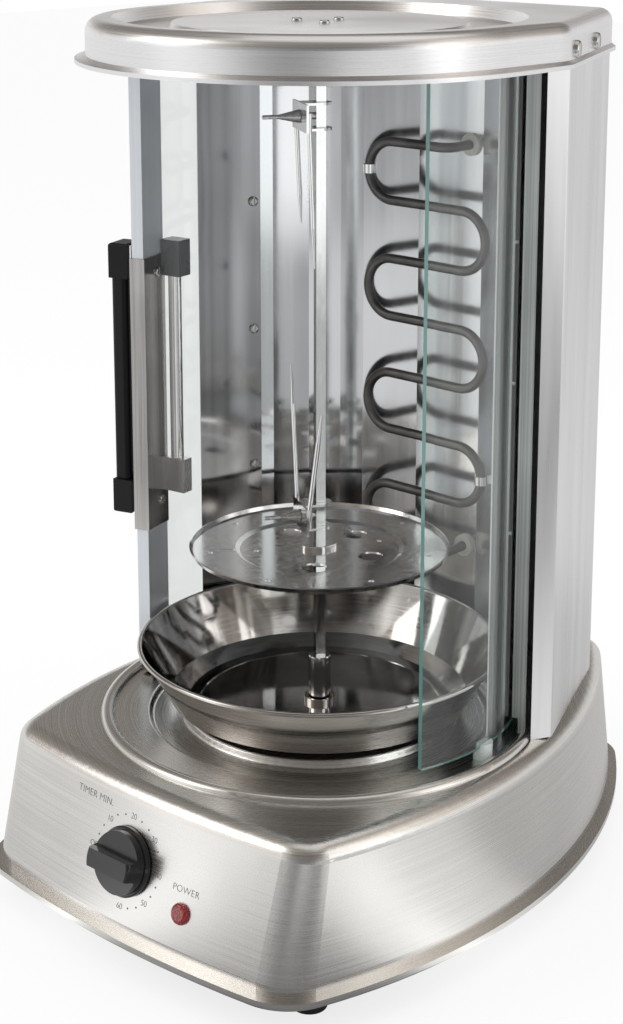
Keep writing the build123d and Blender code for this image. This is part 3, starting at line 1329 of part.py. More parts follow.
CENTRE_Z = LID_TOP_Z - CENTRE_DROP
VALLEY_Z = LID_TOP_Z - RECESS_DEPTH


def recess(inset):
    """Hollow over the sunk ring and the centre disc, sunk further by inset."""
    line = [(RECESS_R + EASE, LID_TOP_Z + RECESS_DEPTH), (RECESS_R - EASE, VALLEY_Z),
            (CENTRE_R + EASE, VALLEY_Z), (CENTRE_R, CENTRE_Z), (0, CENTRE_Z)]
    with BuildPart() as hollow:
        with BuildSketch(Plane.XZ):
            Polygon(*strip(line, inset)[len(line):], (0, LID_TOP_Z + RECESS_DEPTH), align=None)
        revolve(axis=Axis.Z)
    return hollow.part


def lid_block(inset):
    """Solid of the lid without its flange, drawn in by inset."""
    with BuildPart() as block:
        with BuildSketch(Plane.XY.offset(LID_WALL_Z)):
            add(lid_plan(-inset, -inset))
        extrude(amount=LID_TOP_Z - inset - LID_WALL_Z)
        fillet(block.faces().sort_by(Axis.Z)[-1].edges(), LID_SHOULDER - inset)
        add(recess(inset), mode=Mode.SUBTRACT)
    return block.part


def lid_flare(inset):
    """Solid of the flared lower edge, drawn in by inset."""
    with BuildPart() as flare:
        with BuildSketch(Plane.XY.offset(LID_WALL_Z)):
            add(lid_plan(-inset, -inset))
        with BuildSketch(Plane.XY.offset(LID_FLANGE_Z + LID_FLARE)):
            add(lid_plan(LID_FLANGE - inset, LID_SIDE_FLANGE - inset))
        loft(ruled=True)
        with BuildSketch(Plane.XY.offset(LID_FLANGE_Z + LID_FLARE)):
            add(lid_plan(LID_FLANGE - inset, LID_SIDE_FLANGE - inset))
        extrude(amount=-LID_FLARE)
    return flare.part


BEARING_SCREWS = [around(BEARING_SCREW_REACH, bearing) for bearing in BEARING_SCREW_BEARINGS]
with BuildPart() as lid_shell:
    add(lid_block(0))
    add(lid_flare(0))
    add(lid_block(LID_SHEET), mode=Mode.SUBTRACT)
    add(lid_flare(LID_SHEET), mode=Mode.SUBTRACT)
    for plane in LID_SCREWS:
        with BuildSketch(plane):
            Circle(SCREW_R)
        extrude(amount=-2 * LID_SHEET, mode=Mode.SUBTRACT)
    with BuildSketch(Plane.XY.offset(CENTRE_Z)):
        with Locations(*BEARING_SCREWS):
            Circle(SCREW_R)
    extrude(amount=-2 * LID_SHEET, mode=Mode.SUBTRACT)
save(lid_shell.part, "lid_shell")
screws(LID_SCREWS, 2 * LID_SHEET + SHEET, "lid_side_screws", LID_SCREW_HEAD, LID_SCREW_HIGH)

with BuildPart() as lid_ceiling:
    with BuildSketch(Plane.XY.offset(CEILING_Z)):
        Circle(TRACK_IN_R)
        Polygon(*NICHE_COVER, *mirrored(NICHE_COVER), align=None)
        Circle(BEARING_BODY_R + SEAT_GAP, mode=Mode.SUBTRACT)
        with Locations(*[around(POST_REACH, bearing) for bearing in POST_BEARINGS]):
            Circle(SCREW_R, mode=Mode.SUBTRACT)
    extrude(amount=CEILING_T)
save(lid_ceiling.part, "lid_ceiling")

with BuildPart() as ceiling_posts:
    for bearing in POST_BEARINGS:
        x, y = around(POST_REACH, bearing)
        with BuildSketch(Plane.XY.offset(CEILING_Z + CEILING_T)):
            with Locations((x, y)):
                Circle(POST_R)
        extrude(amount=VALLEY_Z - LID_SHEET - CEILING_Z - CEILING_T)
        add(pan_screw(looking_down(x, y, CEILING_Z), CEILING_T, PANEL_HEAD_R))
save(ceiling_posts.part, "ceiling_posts")

with BuildPart() as door_track:
    add(arc_wall(TRACK_IN_R, TRACK_OUT_R, -TRACK_END, TRACK_END, CEILING_Z, TRACK_TOP_Z))
    add(arc_wall(TRACK_IN_R + TRACK_WALL, TRACK_OUT_R - TRACK_WALL, -TRACK_END, TRACK_END,
                 CEILING_Z, TRACK_TOP_Z - TRACK_WALL), mode=Mode.SUBTRACT)
save(door_track.part, "door_track")

with BuildPart() as top_bearing:
    with BuildSketch(Plane.XY.offset(CENTRE_Z - LID_SHEET)):
        Circle(BEARING_R)
        with Locations(*BEARING_SCREWS):
            Circle(SCREW_R, mode=Mode.SUBTRACT)
    extrude(amount=-BEARING_FLANGE_T)
    with BuildSketch(Plane.XY.offset(CENTRE_Z - LID_SHEET - BEARING_FLANGE_T)):
        Circle(BEARING_BODY_R)
    extrude(amount=BEARING_LOW_Z - CENTRE_Z + LID_SHEET + BEARING_FLANGE_T)
    with BuildSketch(Plane.XY.offset(BEARING_LOW_Z)):
        Circle(BEARING_BORE_R)
    extrude(amount=BEARING_BORE_H, mode=Mode.SUBTRACT)
    chamfer(top_bearing.faces().sort_by(Axis.Z)[0].inner_wires().edges(), SHEET)
save(top_bearing.part, "top_bearing")
screws([Plane(origin=(x, y, CENTRE_Z)) for x, y in BEARING_SCREWS], LID_SHEET + BEARING_FLANGE_T + SHEET,
       "top_bearing_screws", BEARING_HEAD_R, BEARING_HEAD_H)


# Doors: curved glasses, the left one held in a channel profile with its handle and roller
def turn_of(length, radius):
    """Angle that an arc length covers."""
    return degrees(length / radius)


PROFILE_TURN = turn_of(PROFILE_WIDE, GLASS_R)
WEB_TURN = turn_of(PROFILE_WEB, GLASS_R)
HANDLE_FRONT = -DOOR_OPEN + turn_of(HANDLE_WALL, GLASS_R)

save(arc_wall(GLASS_IN, GLASS_OUT, DOOR_OPEN, DOOR_REAR, GLASS_Z, GLASS_TOP_Z), "right_glass")
save(arc_wall(GLASS_IN, GLASS_OUT, -DOOR_REAR, -DOOR_OPEN - WEB_TURN, GLASS_Z, GLASS_TOP_Z), "left_glass")

HANDLE_SCREWS = [Plane(origin=(*around(PROFILE_IN_R - HANDLE_WALL - RUN_GAP, HANDLE_SCREW_BEARING), z),
                       x_dir=(0, 0, 1), z_dir=(*around(-1, HANDLE_SCREW_BEARING), 0))
                 for z in HANDLE_SCREW_Z]
with BuildPart() as left_door_profile:
    add(arc_wall(PROFILE_IN_R, PROFILE_OUT_R, -DOOR_OPEN - PROFILE_TURN, -DOOR_OPEN, GLASS_Z, PROFILE_TOP_Z))
    add(arc_wall(GLASS_IN, GLASS_OUT, -DOOR_OPEN - PROFILE_TURN - WEB_TURN, -DOOR_OPEN - WEB_TURN,
                 GLASS_Z, PROFILE_TOP_Z), mode=Mode.SUBTRACT)
    for plane in HANDLE_SCREWS:
        with BuildSketch(plane):
            Circle(SCREW_R)
        extrude(amount=-HANDLE_WALL - PROFILE_WALL - RUN_GAP, mode=Mode.SUBTRACT)
save(left_door_profile.part, "left_door_profile")

with BuildPart() as handle_channel:
    add(arc_wall(PROFILE_IN_R - HANDLE_WALL, PROFILE_OUT_R + HANDLE_WALL,
                 -DOOR_OPEN - turn_of(HANDLE_LAP, GLASS_R), HANDLE_FRONT, HANDLE_BOTTOM_Z, HANDLE_TOP_Z))
    add(arc_wall(PROFILE_IN_R, PROFILE_OUT_R, -DOOR_OPEN - turn_of(2 * HANDLE_LAP, GLASS_R), -DOOR_OPEN,
                 HANDLE_BOTTOM_Z, HANDLE_TOP_Z), mode=Mode.SUBTRACT)
    for plane in HANDLE_SCREWS:
        with BuildSketch(plane):
            Circle(SCREW_R)
        extrude(amount=-2 * HANDLE_WALL, mode=Mode.SUBTRACT)
save(handle_channel.part, "handle_channel")
screws(HANDLE_SCREWS, HANDLE_WALL + PROFILE_WALL, "handle_screws", HANDLE_HEAD_R, HANDLE_HEAD_H)


def handle_block(r_in, r_out, wide, z_low, z_high, bearing=HANDLE_BEARING):
    """Upright block on the door between two radii, at the handle's bearing or another."""
    with BuildPart() as block:
        with BuildSketch(radial_plane(r_in, bearing, (z_low + z_high) / 2)):
            Rectangle(wide, z_high - z_low)
        extrude(amount=r_out - r_in)
    return block.part


with BuildPart() as handle_grip:
    add(handle_block(GRIP_IN_R, GRIP_OUT_R, GRIP_WIDE, GRIP_LOW_Z, GRIP_TOP_Z))
    fillet(handle_grip.edges().filter_by(Axis.Z), GRIP_EDGE)
    add(handle_block(CAP_IN_R, GRIP_OUT_R, CAP_WIDE, CAP_LOW_Z, CAP_TOP_Z))
    fillet(handle_grip.faces().sort_by(Axis.Z)[-1].edges(), GRIP_EDGE / 2)
    add(handle_block(CAP_IN_R, GRIP_OUT_R, CAP_WIDE, GRIP_LOW_Z, GRIP_LOW_Z + CAP_TOP_Z - CAP_LOW_Z))
    fillet(handle_grip.faces().sort_by(Axis.Z)[0].edges(), GRIP_EDGE / 2)
save(handle_grip.part, "handle_grip")

with BuildPart() as handle_clips:
    for low, high in ((GRIP_LOW_Z, GRIP_LOW_Z + CAP_TOP_Z - CAP_LOW_Z), (CAP_LOW_Z, CAP_TOP_Z)):
        add(handle_block(PROFILE_OUT_R, CAP_IN_R, GRIP_WIDE, low + SHEET, high - SHEET))
    add(arc_wall(GLASS_R, PROFILE_OUT_R + HANDLE_WALL, HANDLE_BEARING - PROFILE_TURN,
                 HANDLE_BEARING + PROFILE_TURN, HANDLE_BOTTOM_Z, CAP_TOP_Z), mode=Mode.SUBTRACT)
save(handle_clips.part, "handle_clips")

with BuildPart() as handle_brackets:
    for low, high, wide in BRACKET_SPANS:
        add(handle_block(BRACKET_IN_R, PROFILE_IN_R, wide, low, high, INNER_BEARING))
    add(arc_wall(PROFILE_IN_R - HANDLE_WALL, GLASS_R, INNER_BEARING - PROFILE_TURN,
                 INNER_BEARING + PROFILE_TURN, HANDLE_BOTTOM_Z, CAP_TOP_Z + SHEET), mode=Mode.SUBTRACT)
    with BuildSketch(Plane.XY.offset(INNER_BAR_Z)):
        with Locations(around(INNER_BAR_REACH, INNER_BEARING)):
            Circle(INNER_BAR_R)
    extrude(amount=INNER_BAR_TOP_Z - INNER_BAR_Z, mode=Mode.SUBTRACT)
save(handle_brackets.part, "handle_brackets")

with BuildPart() as handle_rod:
    with BuildSketch(Plane.XY.offset(INNER_BAR_Z)):
        with Locations(around(INNER_BAR_REACH, INNER_BEARING)):
            Circle(INNER_BAR_R)
    extrude(amount=INNER_BAR_TOP_Z - INNER_BAR_Z)
save(handle_rod.part, "handle_rod")

ROLLER_PLANE = radial_plane(GLASS_R, -ROLLER_BEARING, DECK_Z + ROLLER_R)
with BuildPart() as roller_bracket:
    add(arc_wall(PROFILE_IN_R, PROFILE_OUT_R, -ROLLER_BEARING - turn_of(ROLLER_FRAME_LONG / 2, GLASS_R),
                 -ROLLER_BEARING + turn_of(ROLLER_FRAME_LONG / 2, GLASS_R), ROLLER_FRAME_Z, GLASS_Z))
    with BuildSketch(ROLLER_PLANE):
        Rectangle(2 * ROLLER_R + 2 * SEAT_GAP, 4 * ROLLER_R)
    extrude(amount=ROLLER_LONG / 2 + SEAT_GAP, both=True, mode=Mode.SUBTRACT)
    with BuildSketch(ROLLER_PLANE):
        Circle(AXLE_R)
    extrude(amount=PROFILE_OUT_R - GLASS_R, both=True)
save(roller_bracket.part, "roller_bracket")

with BuildPart() as left_roller:
    with BuildSketch(ROLLER_PLANE):
        Circle(ROLLER_R)
        Circle(AXLE_R + RUN_GAP, mode=Mode.SUBTRACT)
    extrude(amount=ROLLER_LONG / 2, both=True)
save(left_roller.part, "left_roller")

with BuildPart() as door_gliders:
    with BuildSketch(Plane.XY.offset(DECK_Z)):
        for bearing in GLIDER_BEARINGS:
            with Locations(around(GLASS_R, bearing), around(GLASS_R, -bearing)):
                Circle(GLIDER_R)
        Circle(GLIDER_IN_R, mode=Mode.SUBTRACT)
    extrude(amount=GLIDER_TOP_Z - DECK_Z)
    add(arc_wall(GLASS_IN - RUN_GAP, GLASS_OUT + RUN_GAP, -DOOR_REAR, -GLIDER_START, GLASS_Z - RUN_GAP,
                 GLIDER_TOP_Z), mode=Mode.SUBTRACT)
    add(arc_wall(GLASS_IN - RUN_GAP, GLASS_OUT + RUN_GAP, GLIDER_START, DOOR_REAR, GLASS_Z - RUN_GAP,
                 GLIDER_TOP_Z), mode=Mode.SUBTRACT)
save(door_gliders.part, "door_gliders")
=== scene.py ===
"""Looks of the vertical kebab grill: the finish of every part, the printed dial, the guard strips beside
the rear column, and a pale studio seen from the front right."""
from math import asin, cos, radians, sin, tan, tau

import bmesh
import bpy
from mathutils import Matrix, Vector


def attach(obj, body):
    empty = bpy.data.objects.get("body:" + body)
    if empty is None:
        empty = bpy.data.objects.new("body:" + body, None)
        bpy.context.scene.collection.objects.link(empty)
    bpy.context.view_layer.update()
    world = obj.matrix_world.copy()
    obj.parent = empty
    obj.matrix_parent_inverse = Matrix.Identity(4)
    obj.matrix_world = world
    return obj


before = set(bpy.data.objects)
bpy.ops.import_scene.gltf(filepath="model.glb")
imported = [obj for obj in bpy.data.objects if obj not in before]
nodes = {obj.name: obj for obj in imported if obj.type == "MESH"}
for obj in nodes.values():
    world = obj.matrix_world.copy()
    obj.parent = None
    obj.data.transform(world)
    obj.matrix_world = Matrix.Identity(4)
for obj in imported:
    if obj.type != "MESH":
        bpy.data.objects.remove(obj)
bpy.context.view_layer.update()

# Sizes are in metres, and bearings turn from the front (-Y) towards +X.

# Front panel: y and z of its foot, how far it leans back, and the radius of its bow
FASCIA_FOOT = (-0.182, 0.031)
FASCIA_LEAN = radians(14)
FASCIA_BOW_R = 0.7321

# Print: how far it stands off the panel, and the thinning of its strokes as a share of the letters' size
PRINT_LIFT = 0.00006
PRINT_THIN = 0.016

# Timer dial: height of its middle, radius of its ring of print, and what is printed on it. Its angles are in
# degrees from the right, and it runs clockwise. OFF is wider than a number, so it stands further out.
DIAL_Z = 0.0668
DIAL_R = 0.0274
DIAL_WORDS = ("OFF", "10", "20", "30", "40", "50", "60")
DIAL_STEP = 44.6
DIAL_LETTERS = 0.0052
DIAL_SPACING = 0.95
OFF_ANGLE = 178.0
OFF_REACH = 0.0012
DOTS_PER_STEP = 2
DOT_RADIUS = 0.00062
DOT_SIDES = 14

# Words beside the dial: piece, words, size of the letters, x, z and spacing
LABELS = (
    ("words_timer", "TIMER MIN.", 0.0064, -0.0345, 0.0955, 1.02),
    ("words_power", "POWER", 0.0058, 0.0496, 0.0650, 1.05),
)

# Guard strips: bearing, thickness, inner and outer reach from the spit's line, foot and top, and the notch at
# the foot that the doors' gliders pass through
STRIP_BEARING = radians(110.4)
STRIP_THICK = 0.0008
STRIP_IN = 0.1302
STRIP_OUT = 0.1390
STRIP_FOOT = 0.110
STRIP_TOP = 0.536
STRIP_NOTCH = 0.1342
STRIP_NOTCH_Z = 0.1225

# Handle brackets: the height between the lower and the upper one, and half the band where their finishes meet
BRACKET_CHANGE_Z = 0.32
BRACKET_CHANGE_HALF = 0.01

# Rear column: a point in its middle, and half the band where its inner and outer finishes meet
COLUMN_MIDDLE = (0, 0.10, 0.35)
COLUMN_CHANGE_HALF = 0.001

# Base: the upward part of its facing over which its sides turn into the deck
SIDE_TO_DECK = (0.6, 0.95)

# Noise: the range that most of it lies in, and its detail in grain, in clouds, in swells and in blotches
NOISE_LOW, NOISE_HIGH = 0.3, 0.7
GRAIN_DETAIL, CLOUD_DETAIL, SWELL_DETAIL, BLOTCH_DETAIL = 3.0, 2.0, 1.0, 4.0

# Metal: depth of its grain and of its uneven sheet, its clouds per metre, and the grain's share of its colour
GRAIN_DEPTH = 0.0002
SHEET_DEPTH = 0.002
METAL_CLOUDS = 9
GRAIN_SHARE = 0.55


# Nodes
def feed(tree, socket, value):
    """Links another socket to this one or sets its plain value. A colour is given without its alpha."""
    if isinstance(value, bpy.types.NodeSocket):
        tree.links.new(value, socket)
    elif socket.type == "RGBA":
        socket.default_value = (*value, 1)
    else:
        socket.default_value = value


def fill(tree, node, values):
    """Feeds a node's inputs by their name or number."""
    for key, value in values.items():
        feed(tree, node.inputs[key], value)


def add(tree, kind, values=None, **settings):
    """New node with its settings and its inputs."""
    node = tree.nodes.new(kind)
    for name, value in settings.items():
        setattr(node, name, value)
    fill(tree, node, values or {})
    return node


def maths(tree, operation, *values):
    """Number worked out from numbers or sockets."""
    return add(tree, "ShaderNodeMath", dict(enumerate(values)), operation=operation).outputs[0]


def vectors(tree, operation, *values):
    """Vector worked out from vectors, or the number that a length or a dot product gives."""
    node = add(tree, "ShaderNodeVectorMath", dict(enumerate(values)), operation=operation)
    return node.outputs["Value" if operation in ("LENGTH", "DOT_PRODUCT") else "Vector"]


def part(tree, vector, axis):
    """One axis of a vector."""
    return add(tree, "ShaderNodeSeparateXYZ", {"Vector": vector}).outputs[axis]


def level(tree, place):
    """The level part of a place, which runs out from the spit's upright line."""
    return vectors(tree, "MULTIPLY", place, (1, 1, 0))


def facing(coords):
    """The way the surface faces, in the same frame as its Object coordinates."""
    return coords.node.outputs["Normal"]


def stretched(tree, coords, scale, detail=GRAIN_DETAIL, rough=0.6):
    """Noise with a scale for each axis, drawn out along those with a small one, or with one scale for all."""
    scales = scale if isinstance(scale, tuple) else (scale,) * 3
    mapping = add(tree, "ShaderNodeMapping", {"Vector": coords, "Scale": scales})
    noise = add(tree, "ShaderNodeTexNoise", {"Vector": mapping.outputs["Vector"], "Scale": 1.0,
                                             "Detail": detail, "Roughness": rough})
    return noise.outputs["Fac"]


def span(tree, value, low=0.0, high=1.0, start_at=NOISE_LOW, end_at=NOISE_HIGH):
    """A value between start_at and end_at stretched onto low to high."""
    node = add(tree, "ShaderNodeMapRange", {"Value": value, "From Min": start_at, "From Max": end_at,
                                            "To Min": low, "To Max": high})
    return node.outputs["Result"]


def crossing(tree, value, limits):
    """0 before the first limit and 1 past the second."""
    return span(tree, value, 0.0, 1.0, *limits)


def mixed(tree, factor, first, second):
    """Number between two."""
    return add(tree, "ShaderNodeMix", {"Factor": factor, "A": first, "B": second}).outputs[0]


def blended(tree, factor, first, second):
    """Colour between two."""
    mix = add(tree, "ShaderNodeMix", {"Factor": factor}, data_type="RGBA")
    for socket, colour in zip([s for s in mix.inputs if s.type == "RGBA"], (first, second)):
        feed(tree, socket, colour)
    return next(s for s in mix.outputs if s.type == "RGBA")


def mixed_shader(tree, factor, first, second):
    """Shader between two."""
    return add(tree, "ShaderNodeMixShader", {0: factor, 1: first, 2: second}).outputs["Shader"]


def bump(tree, height, strength, depth=GRAIN_DEPTH, under=None):
    """Normal of a surface raised by a height, on top of another normal where there is one."""
    node = add(tree, "ShaderNodeBump", {"Height": height, "Strength": strength, "Distance": depth})
    if under is not None:
        feed(tree, node.inputs["Normal"], under)
    return node.outputs["Normal"]


# Materials
def start(name):
    """New material with its tree, its shader and its Object coordinates."""
    material = bpy.data.materials.new(name)
    material.use_nodes = True
    tree = material.node_tree
    coords = add(tree, "ShaderNodeTexCoord").outputs["Object"]
    return material, tree, tree.nodes["Principled BSDF"], coords


def show(tree, shader):
    """Makes a shader the material's surface."""
    feed(tree, tree.nodes["Material Output"].inputs["Surface"], shader)


def metal(name, dark, light, grain, rough, strength, wave=None, aniso=0.0, bare=1.0):
    """Metal with a fine grain, slow cloudiness and slightly uneven sheet.

    grain is its streaks per metre along each axis, rough the least and most roughness, strength the bump of
    the grain, wave the swells per metre and their bump, and bare how much of it is bare metal."""
    material, tree, shader, coords = start(name)
    fine = stretched(tree, coords, grain)
    clouds = stretched(tree, coords, METAL_CLOUDS, CLOUD_DETAIL)
    both = maths(tree, "MULTIPLY_ADD", fine, GRAIN_SHARE, maths(tree, "MULTIPLY", clouds, 1 - GRAIN_SHARE))
    sheet = None
    if wave:
        swells, swell_strength = wave
        sheet = bump(tree, stretched(tree, coords, swells, SWELL_DETAIL), swell_strength, SHEET_DEPTH)
    fill(tree, shader, {
        "Metallic": bare,
        "Anisotropic": aniso,
        "Base Color": blended(tree, span(tree, both), dark, light),
        "Roughness": span(tree, fine, *rough),
        "Normal": bump(tree, fine, strength, under=sheet),
    })
    return material


def plastic(name, dark, light, grain, rough, strength, coat=0.0, shine=0.5):
    """Moulded plastic, rubber, ceramic or paint with a fine texture of grain specks per metre."""
    material, tree, shader, coords = start(name)
    fine = stretched(tree, coords, grain)
    fill(tree, shader, {
        "Coat Weight": coat,
        "Specular IOR Level": shine,
        "Base Color": blended(tree, span(tree, fine), dark, light),
        "Roughness": span(tree, fine, *rough),
        "Normal": bump(tree, fine, strength),
    })
    return material


def base_steel():
    """Satin sheet, brushed level on upright faces and in rings round the spit on the deck."""
    material, tree, shader, coords = start("brushed_base_steel")
    rings = add(tree, "ShaderNodeCombineXYZ", {"X": vectors(tree, "LENGTH", level(tree, coords)),
                                               "Z": part(tree, coords, "Z")}).outputs["Vector"]
    on_deck = crossing(tree, part(tree, facing(coords), "Z"), SIDE_TO_DECK)
    side_grain = stretched(tree, coords, (6, 6, 1600))
    deck_grain = stretched(tree, rings, (1500, 1, 2))
    fine = mixed(tree, on_deck, side_grain, deck_grain)
    clouds = stretched(tree, coords, 7, CLOUD_DETAIL)
    cloud_share = 0.4
    dark, light = (0.60, 0.588, 0.565), (0.82, 0.81, 0.79)
    fill(tree, shader, {
        "Metallic": 1.0,
        "Base Color": blended(tree, span(tree, mixed(tree, cloud_share, fine, clouds)), dark, light),
        "Roughness": span(tree, fine, 0.20, 0.34),
        "Normal": bump(tree, fine, 0.008),
    })
    return material


def glass():
    """Clear tempered glass, green on its cut edges, which face neither out from the spit nor in to it."""
    material, tree, shader, coords = start("tempered_glass")
    outward = vectors(tree, "NORMALIZE", level(tree, coords))
    on_pane = maths(tree, "ABSOLUTE", vectors(tree, "DOT_PRODUCT", outward, facing(coords)))
    edge = span(tree, on_pane, 1.0, 0.0)
    smears = stretched(tree, coords, (14, 14, 5))
    pane_tint, edge_green, shadow_tint = (0.95, 0.985, 0.975), (0.22, 0.44, 0.40), (0.90, 0.97, 0.95)
    fill(tree, shader, {
        "Base Color": blended(tree, edge, pane_tint, edge_green),
        "Transmission Weight": span(tree, edge, 1.0, 0.25, 0.0, 1.0),
        "Roughness": span(tree, smears, 0.0, 0.05, 0.4, 0.8),
        "IOR": 1.45,
    })
    ray = add(tree, "ShaderNodeLightPath").outputs
    clear = add(tree, "ShaderNodeBsdfTransparent", {"Color": shadow_tint}).outputs["BSDF"]
    show(tree, mixed_shader(tree, ray["Is Shadow Ray"], shader.outputs["BSDF"], clear))
    return material


def bracket_steel():
    """Handle brackets: the upper one dark grey and duller, the lower one bare."""
    material, tree, shader, coords = start("bracket_steel")
    upper = crossing(tree, part(tree, coords, "Z"),
                     (BRACKET_CHANGE_Z - BRACKET_CHANGE_HALF, BRACKET_CHANGE_Z + BRACKET_CHANGE_HALF))
    grain = stretched(tree, coords, (300, 300, 20))
    bare_steel, upper_dark_grey = (0.70, 0.70, 0.69), (0.17, 0.175, 0.18)
    fill(tree, shader, {
        "Metallic": span(tree, upper, 1.0, 0.35, 0.0, 1.0),
        "Base Color": blended(tree, upper, bare_steel, upper_dark_grey),
        "Roughness": span(tree, grain, 0.22, 0.36),
        "Normal": bump(tree, grain, 0.04),
    })
    return material


def ribbed_steel():
    """Right side reflector: satin sheet with upright ribbed streaks, whose pale stripes in its colour are
    painted highlights.
    """
    material, tree, shader, coords = start("ribbed_side_steel")
    streaks = stretched(tree, coords, (420, 420, 1.2), CLOUD_DETAIL, rough=0.5)
    # Dark to light along the streaks: painted highlights on the upright ribs, which are real in the bump
    dark, light = (0.42, 0.43, 0.44), (0.93, 0.94, 0.95)
    fill(tree, shader, {
        "Metallic": 1.0,
        "Base Color": blended(tree, span(tree, streaks), dark, light),
        "Roughness": span(tree, streaks, 0.42, 0.30),
        "Normal": bump(tree, streaks, 0.3, depth=0.0006),
    })
    return material


def casing_steel():
    """Rear column: satin outside with an upright grain, dull and pale on the faces turned inwards."""
    material, tree, shader, coords = start("satin_casing_steel")
    outward = vectors(tree, "SUBTRACT", coords, COLUMN_MIDDLE)
    faces_out = vectors(tree, "DOT_PRODUCT", outward, facing(coords))
    inside = span(tree, faces_out, 1.0, 0.0, -COLUMN_CHANGE_HALF, COLUMN_CHANGE_HALF)
    grain = stretched(tree, coords, (60, 60, 4))
    duller = maths(tree, "MULTIPLY", inside, 0.25)
    dark, light = (0.70, 0.695, 0.70), (0.84, 0.835, 0.84)
    fill(tree, shader, {
        "Metallic": span(tree, inside, 1.0, 0.25, 0.0, 1.0),
        "Base Color": blended(tree, span(tree, grain), dark, light),
        "Roughness": maths(tree, "ADD", span(tree, grain, 0.26, 0.34), duller),
        "Normal": bump(tree, grain, 0.02),
    })
    return material


def lens_red():
    """Red lamp lens with fine facets, its colour paler towards each facet's edge as a painted highlight and
    darker in its middle.
    """
    material, tree, shader, coords = start("red_lamp_lens")
    facet_bump_and_painted_glint = add(tree, "ShaderNodeTexVoronoi", {"Vector": coords, "Scale": 700}).outputs["Distance"]
    # Colour from dark facet middles to pale facet edges: painted glints on the facet edges
    dark, light = (0.10, 0.001, 0.003), (0.48, 0.012, 0.016)
    fill(tree, shader, {
        "Base Color": blended(tree, facet_bump_and_painted_glint, dark, light),
        "Roughness": 0.08,
        "Coat Weight": 1.0,
        "Normal": bump(tree, facet_bump_and_painted_glint, 0.9, depth=0.0010),
    })
    return material


def heater_sheath():
    """Dull steel sheath, browned by heat in blotches."""
    material, tree, shader, coords = start("heater_sheath")
    blotch = stretched(tree, coords, 40, BLOTCH_DETAIL)
    fine = stretched(tree, coords, 900, CLOUD_DETAIL)
    dark, light = (0.085, 0.080, 0.076), (0.20, 0.195, 0.19)
    fill(tree, shader, {
        "Metallic": 0.85,
        "Base Color": blended(tree, span(tree, blotch), dark, light),
        "Roughness": span(tree, blotch, 0.32, 0.5),
        "Normal": bump(tree, fine, 0.12),
    })
    return material


base_finish = base_steel()
casing_finish = casing_steel()
side_finish = ribbed_steel()
bracket_finish = bracket_steel()
sheath_finish = heater_sheath()
glass_finish = glass()
lens_finish = lens_red()

# Sheet
lid_finish = metal("satin_lid_steel", dark=(0.74, 0.735, 0.74), light=(0.88, 0.875, 0.88),
                   grain=(8, 8, 1300), rough=(0.24, 0.34), strength=0.04, wave=(14, 0.10), aniso=0.3)
# Left side reflector: the same mirror steel as the corners, its colour darkened as painted shade
left_painted_shade_finish = metal("mirror_steel_painted_shade", dark=(0.32, 0.325, 0.33), light=(0.48, 0.485, 0.49),
                    grain=(70, 70, 1.5), rough=(0.05, 0.12), strength=0.01, wave=(16, 0.10))
mirror_finish = metal("mirror_steel", dark=(0.62, 0.63, 0.65), light=(0.80, 0.81, 0.83),
                      grain=(60, 60, 1.5), rough=(0.05, 0.12), strength=0.01, wave=(16, 0.10))
niche_finish = metal("niche_steel", dark=(0.66, 0.665, 0.68), light=(0.84, 0.85, 0.87),
                     grain=(90, 90, 1.5), rough=(0.10, 0.20), strength=0.01, wave=(12, 0.10))
bowl_finish = metal("polished_tray_steel", dark=(0.46, 0.44, 0.42), light=(0.64, 0.62, 0.60),
                    grain=(30, 30, 900), rough=(0.04, 0.12), strength=0.02, wave=(20, 0.06))
disc_finish = metal("polished_disc_steel", dark=(0.72, 0.72, 0.71), light=(0.88, 0.88, 0.87),
                    grain=260, rough=(0.10, 0.22), strength=0.02, wave=(18, 0.06))
channel_finish = metal("polished_handle_steel", dark=(0.30, 0.29, 0.28), light=(0.52, 0.51, 0.50),
                       grain=(500, 500, 6), rough=(0.14, 0.24), strength=0.03, wave=(30, 0.08))
plate_finish = metal("zinc_plate", dark=(0.42, 0.43, 0.44), light=(0.58, 0.59, 0.60),
                     grain=70, rough=(0.35, 0.5), strength=0.05)
profile_finish = metal("satin_aluminium", dark=(0.66, 0.69, 0.73), light=(0.80, 0.83, 0.87),
                       grain=(700, 700, 5), rough=(0.28, 0.38), strength=0.03, bare=0.45)
# Guard strips: the ribs are in the bump, and the pale and dark streaks in the colour are painted highlights
# and painted shade between the ribs
strip_finish = metal("ribbed_strip", dark=(0.34, 0.36, 0.35), light=(0.88, 0.92, 0.90),
                     grain=(1100, 1100, 1.5), rough=(0.3, 0.4), strength=0.25)

# Rods, screws and castings
bright_finish = metal("bright_chrome", dark=(0.72, 0.72, 0.72), light=(0.90, 0.90, 0.90),
                      grain=(300, 300, 60), rough=(0.06, 0.14), strength=0.02)
screw_finish = metal("zinc_screw", dark=(0.50, 0.50, 0.49), light=(0.70, 0.70, 0.69),
                     grain=900, rough=(0.18, 0.32), strength=0.05)
knurl_finish = metal("knurled_screw", dark=(0.42, 0.42, 0.41), light=(0.80, 0.80, 0.79),
                     grain=1500, rough=(0.2, 0.3), strength=0.6)
bronze_finish = metal("bush_bronze", dark=(0.38, 0.26, 0.12), light=(0.58, 0.42, 0.22),
                      grain=500, rough=(0.3, 0.45), strength=0.08)
motor_finish = metal("motor_steel", dark=(0.36, 0.36, 0.37), light=(0.52, 0.52, 0.53),
                     grain=(50, 50, 500), rough=(0.3, 0.45), strength=0.05)

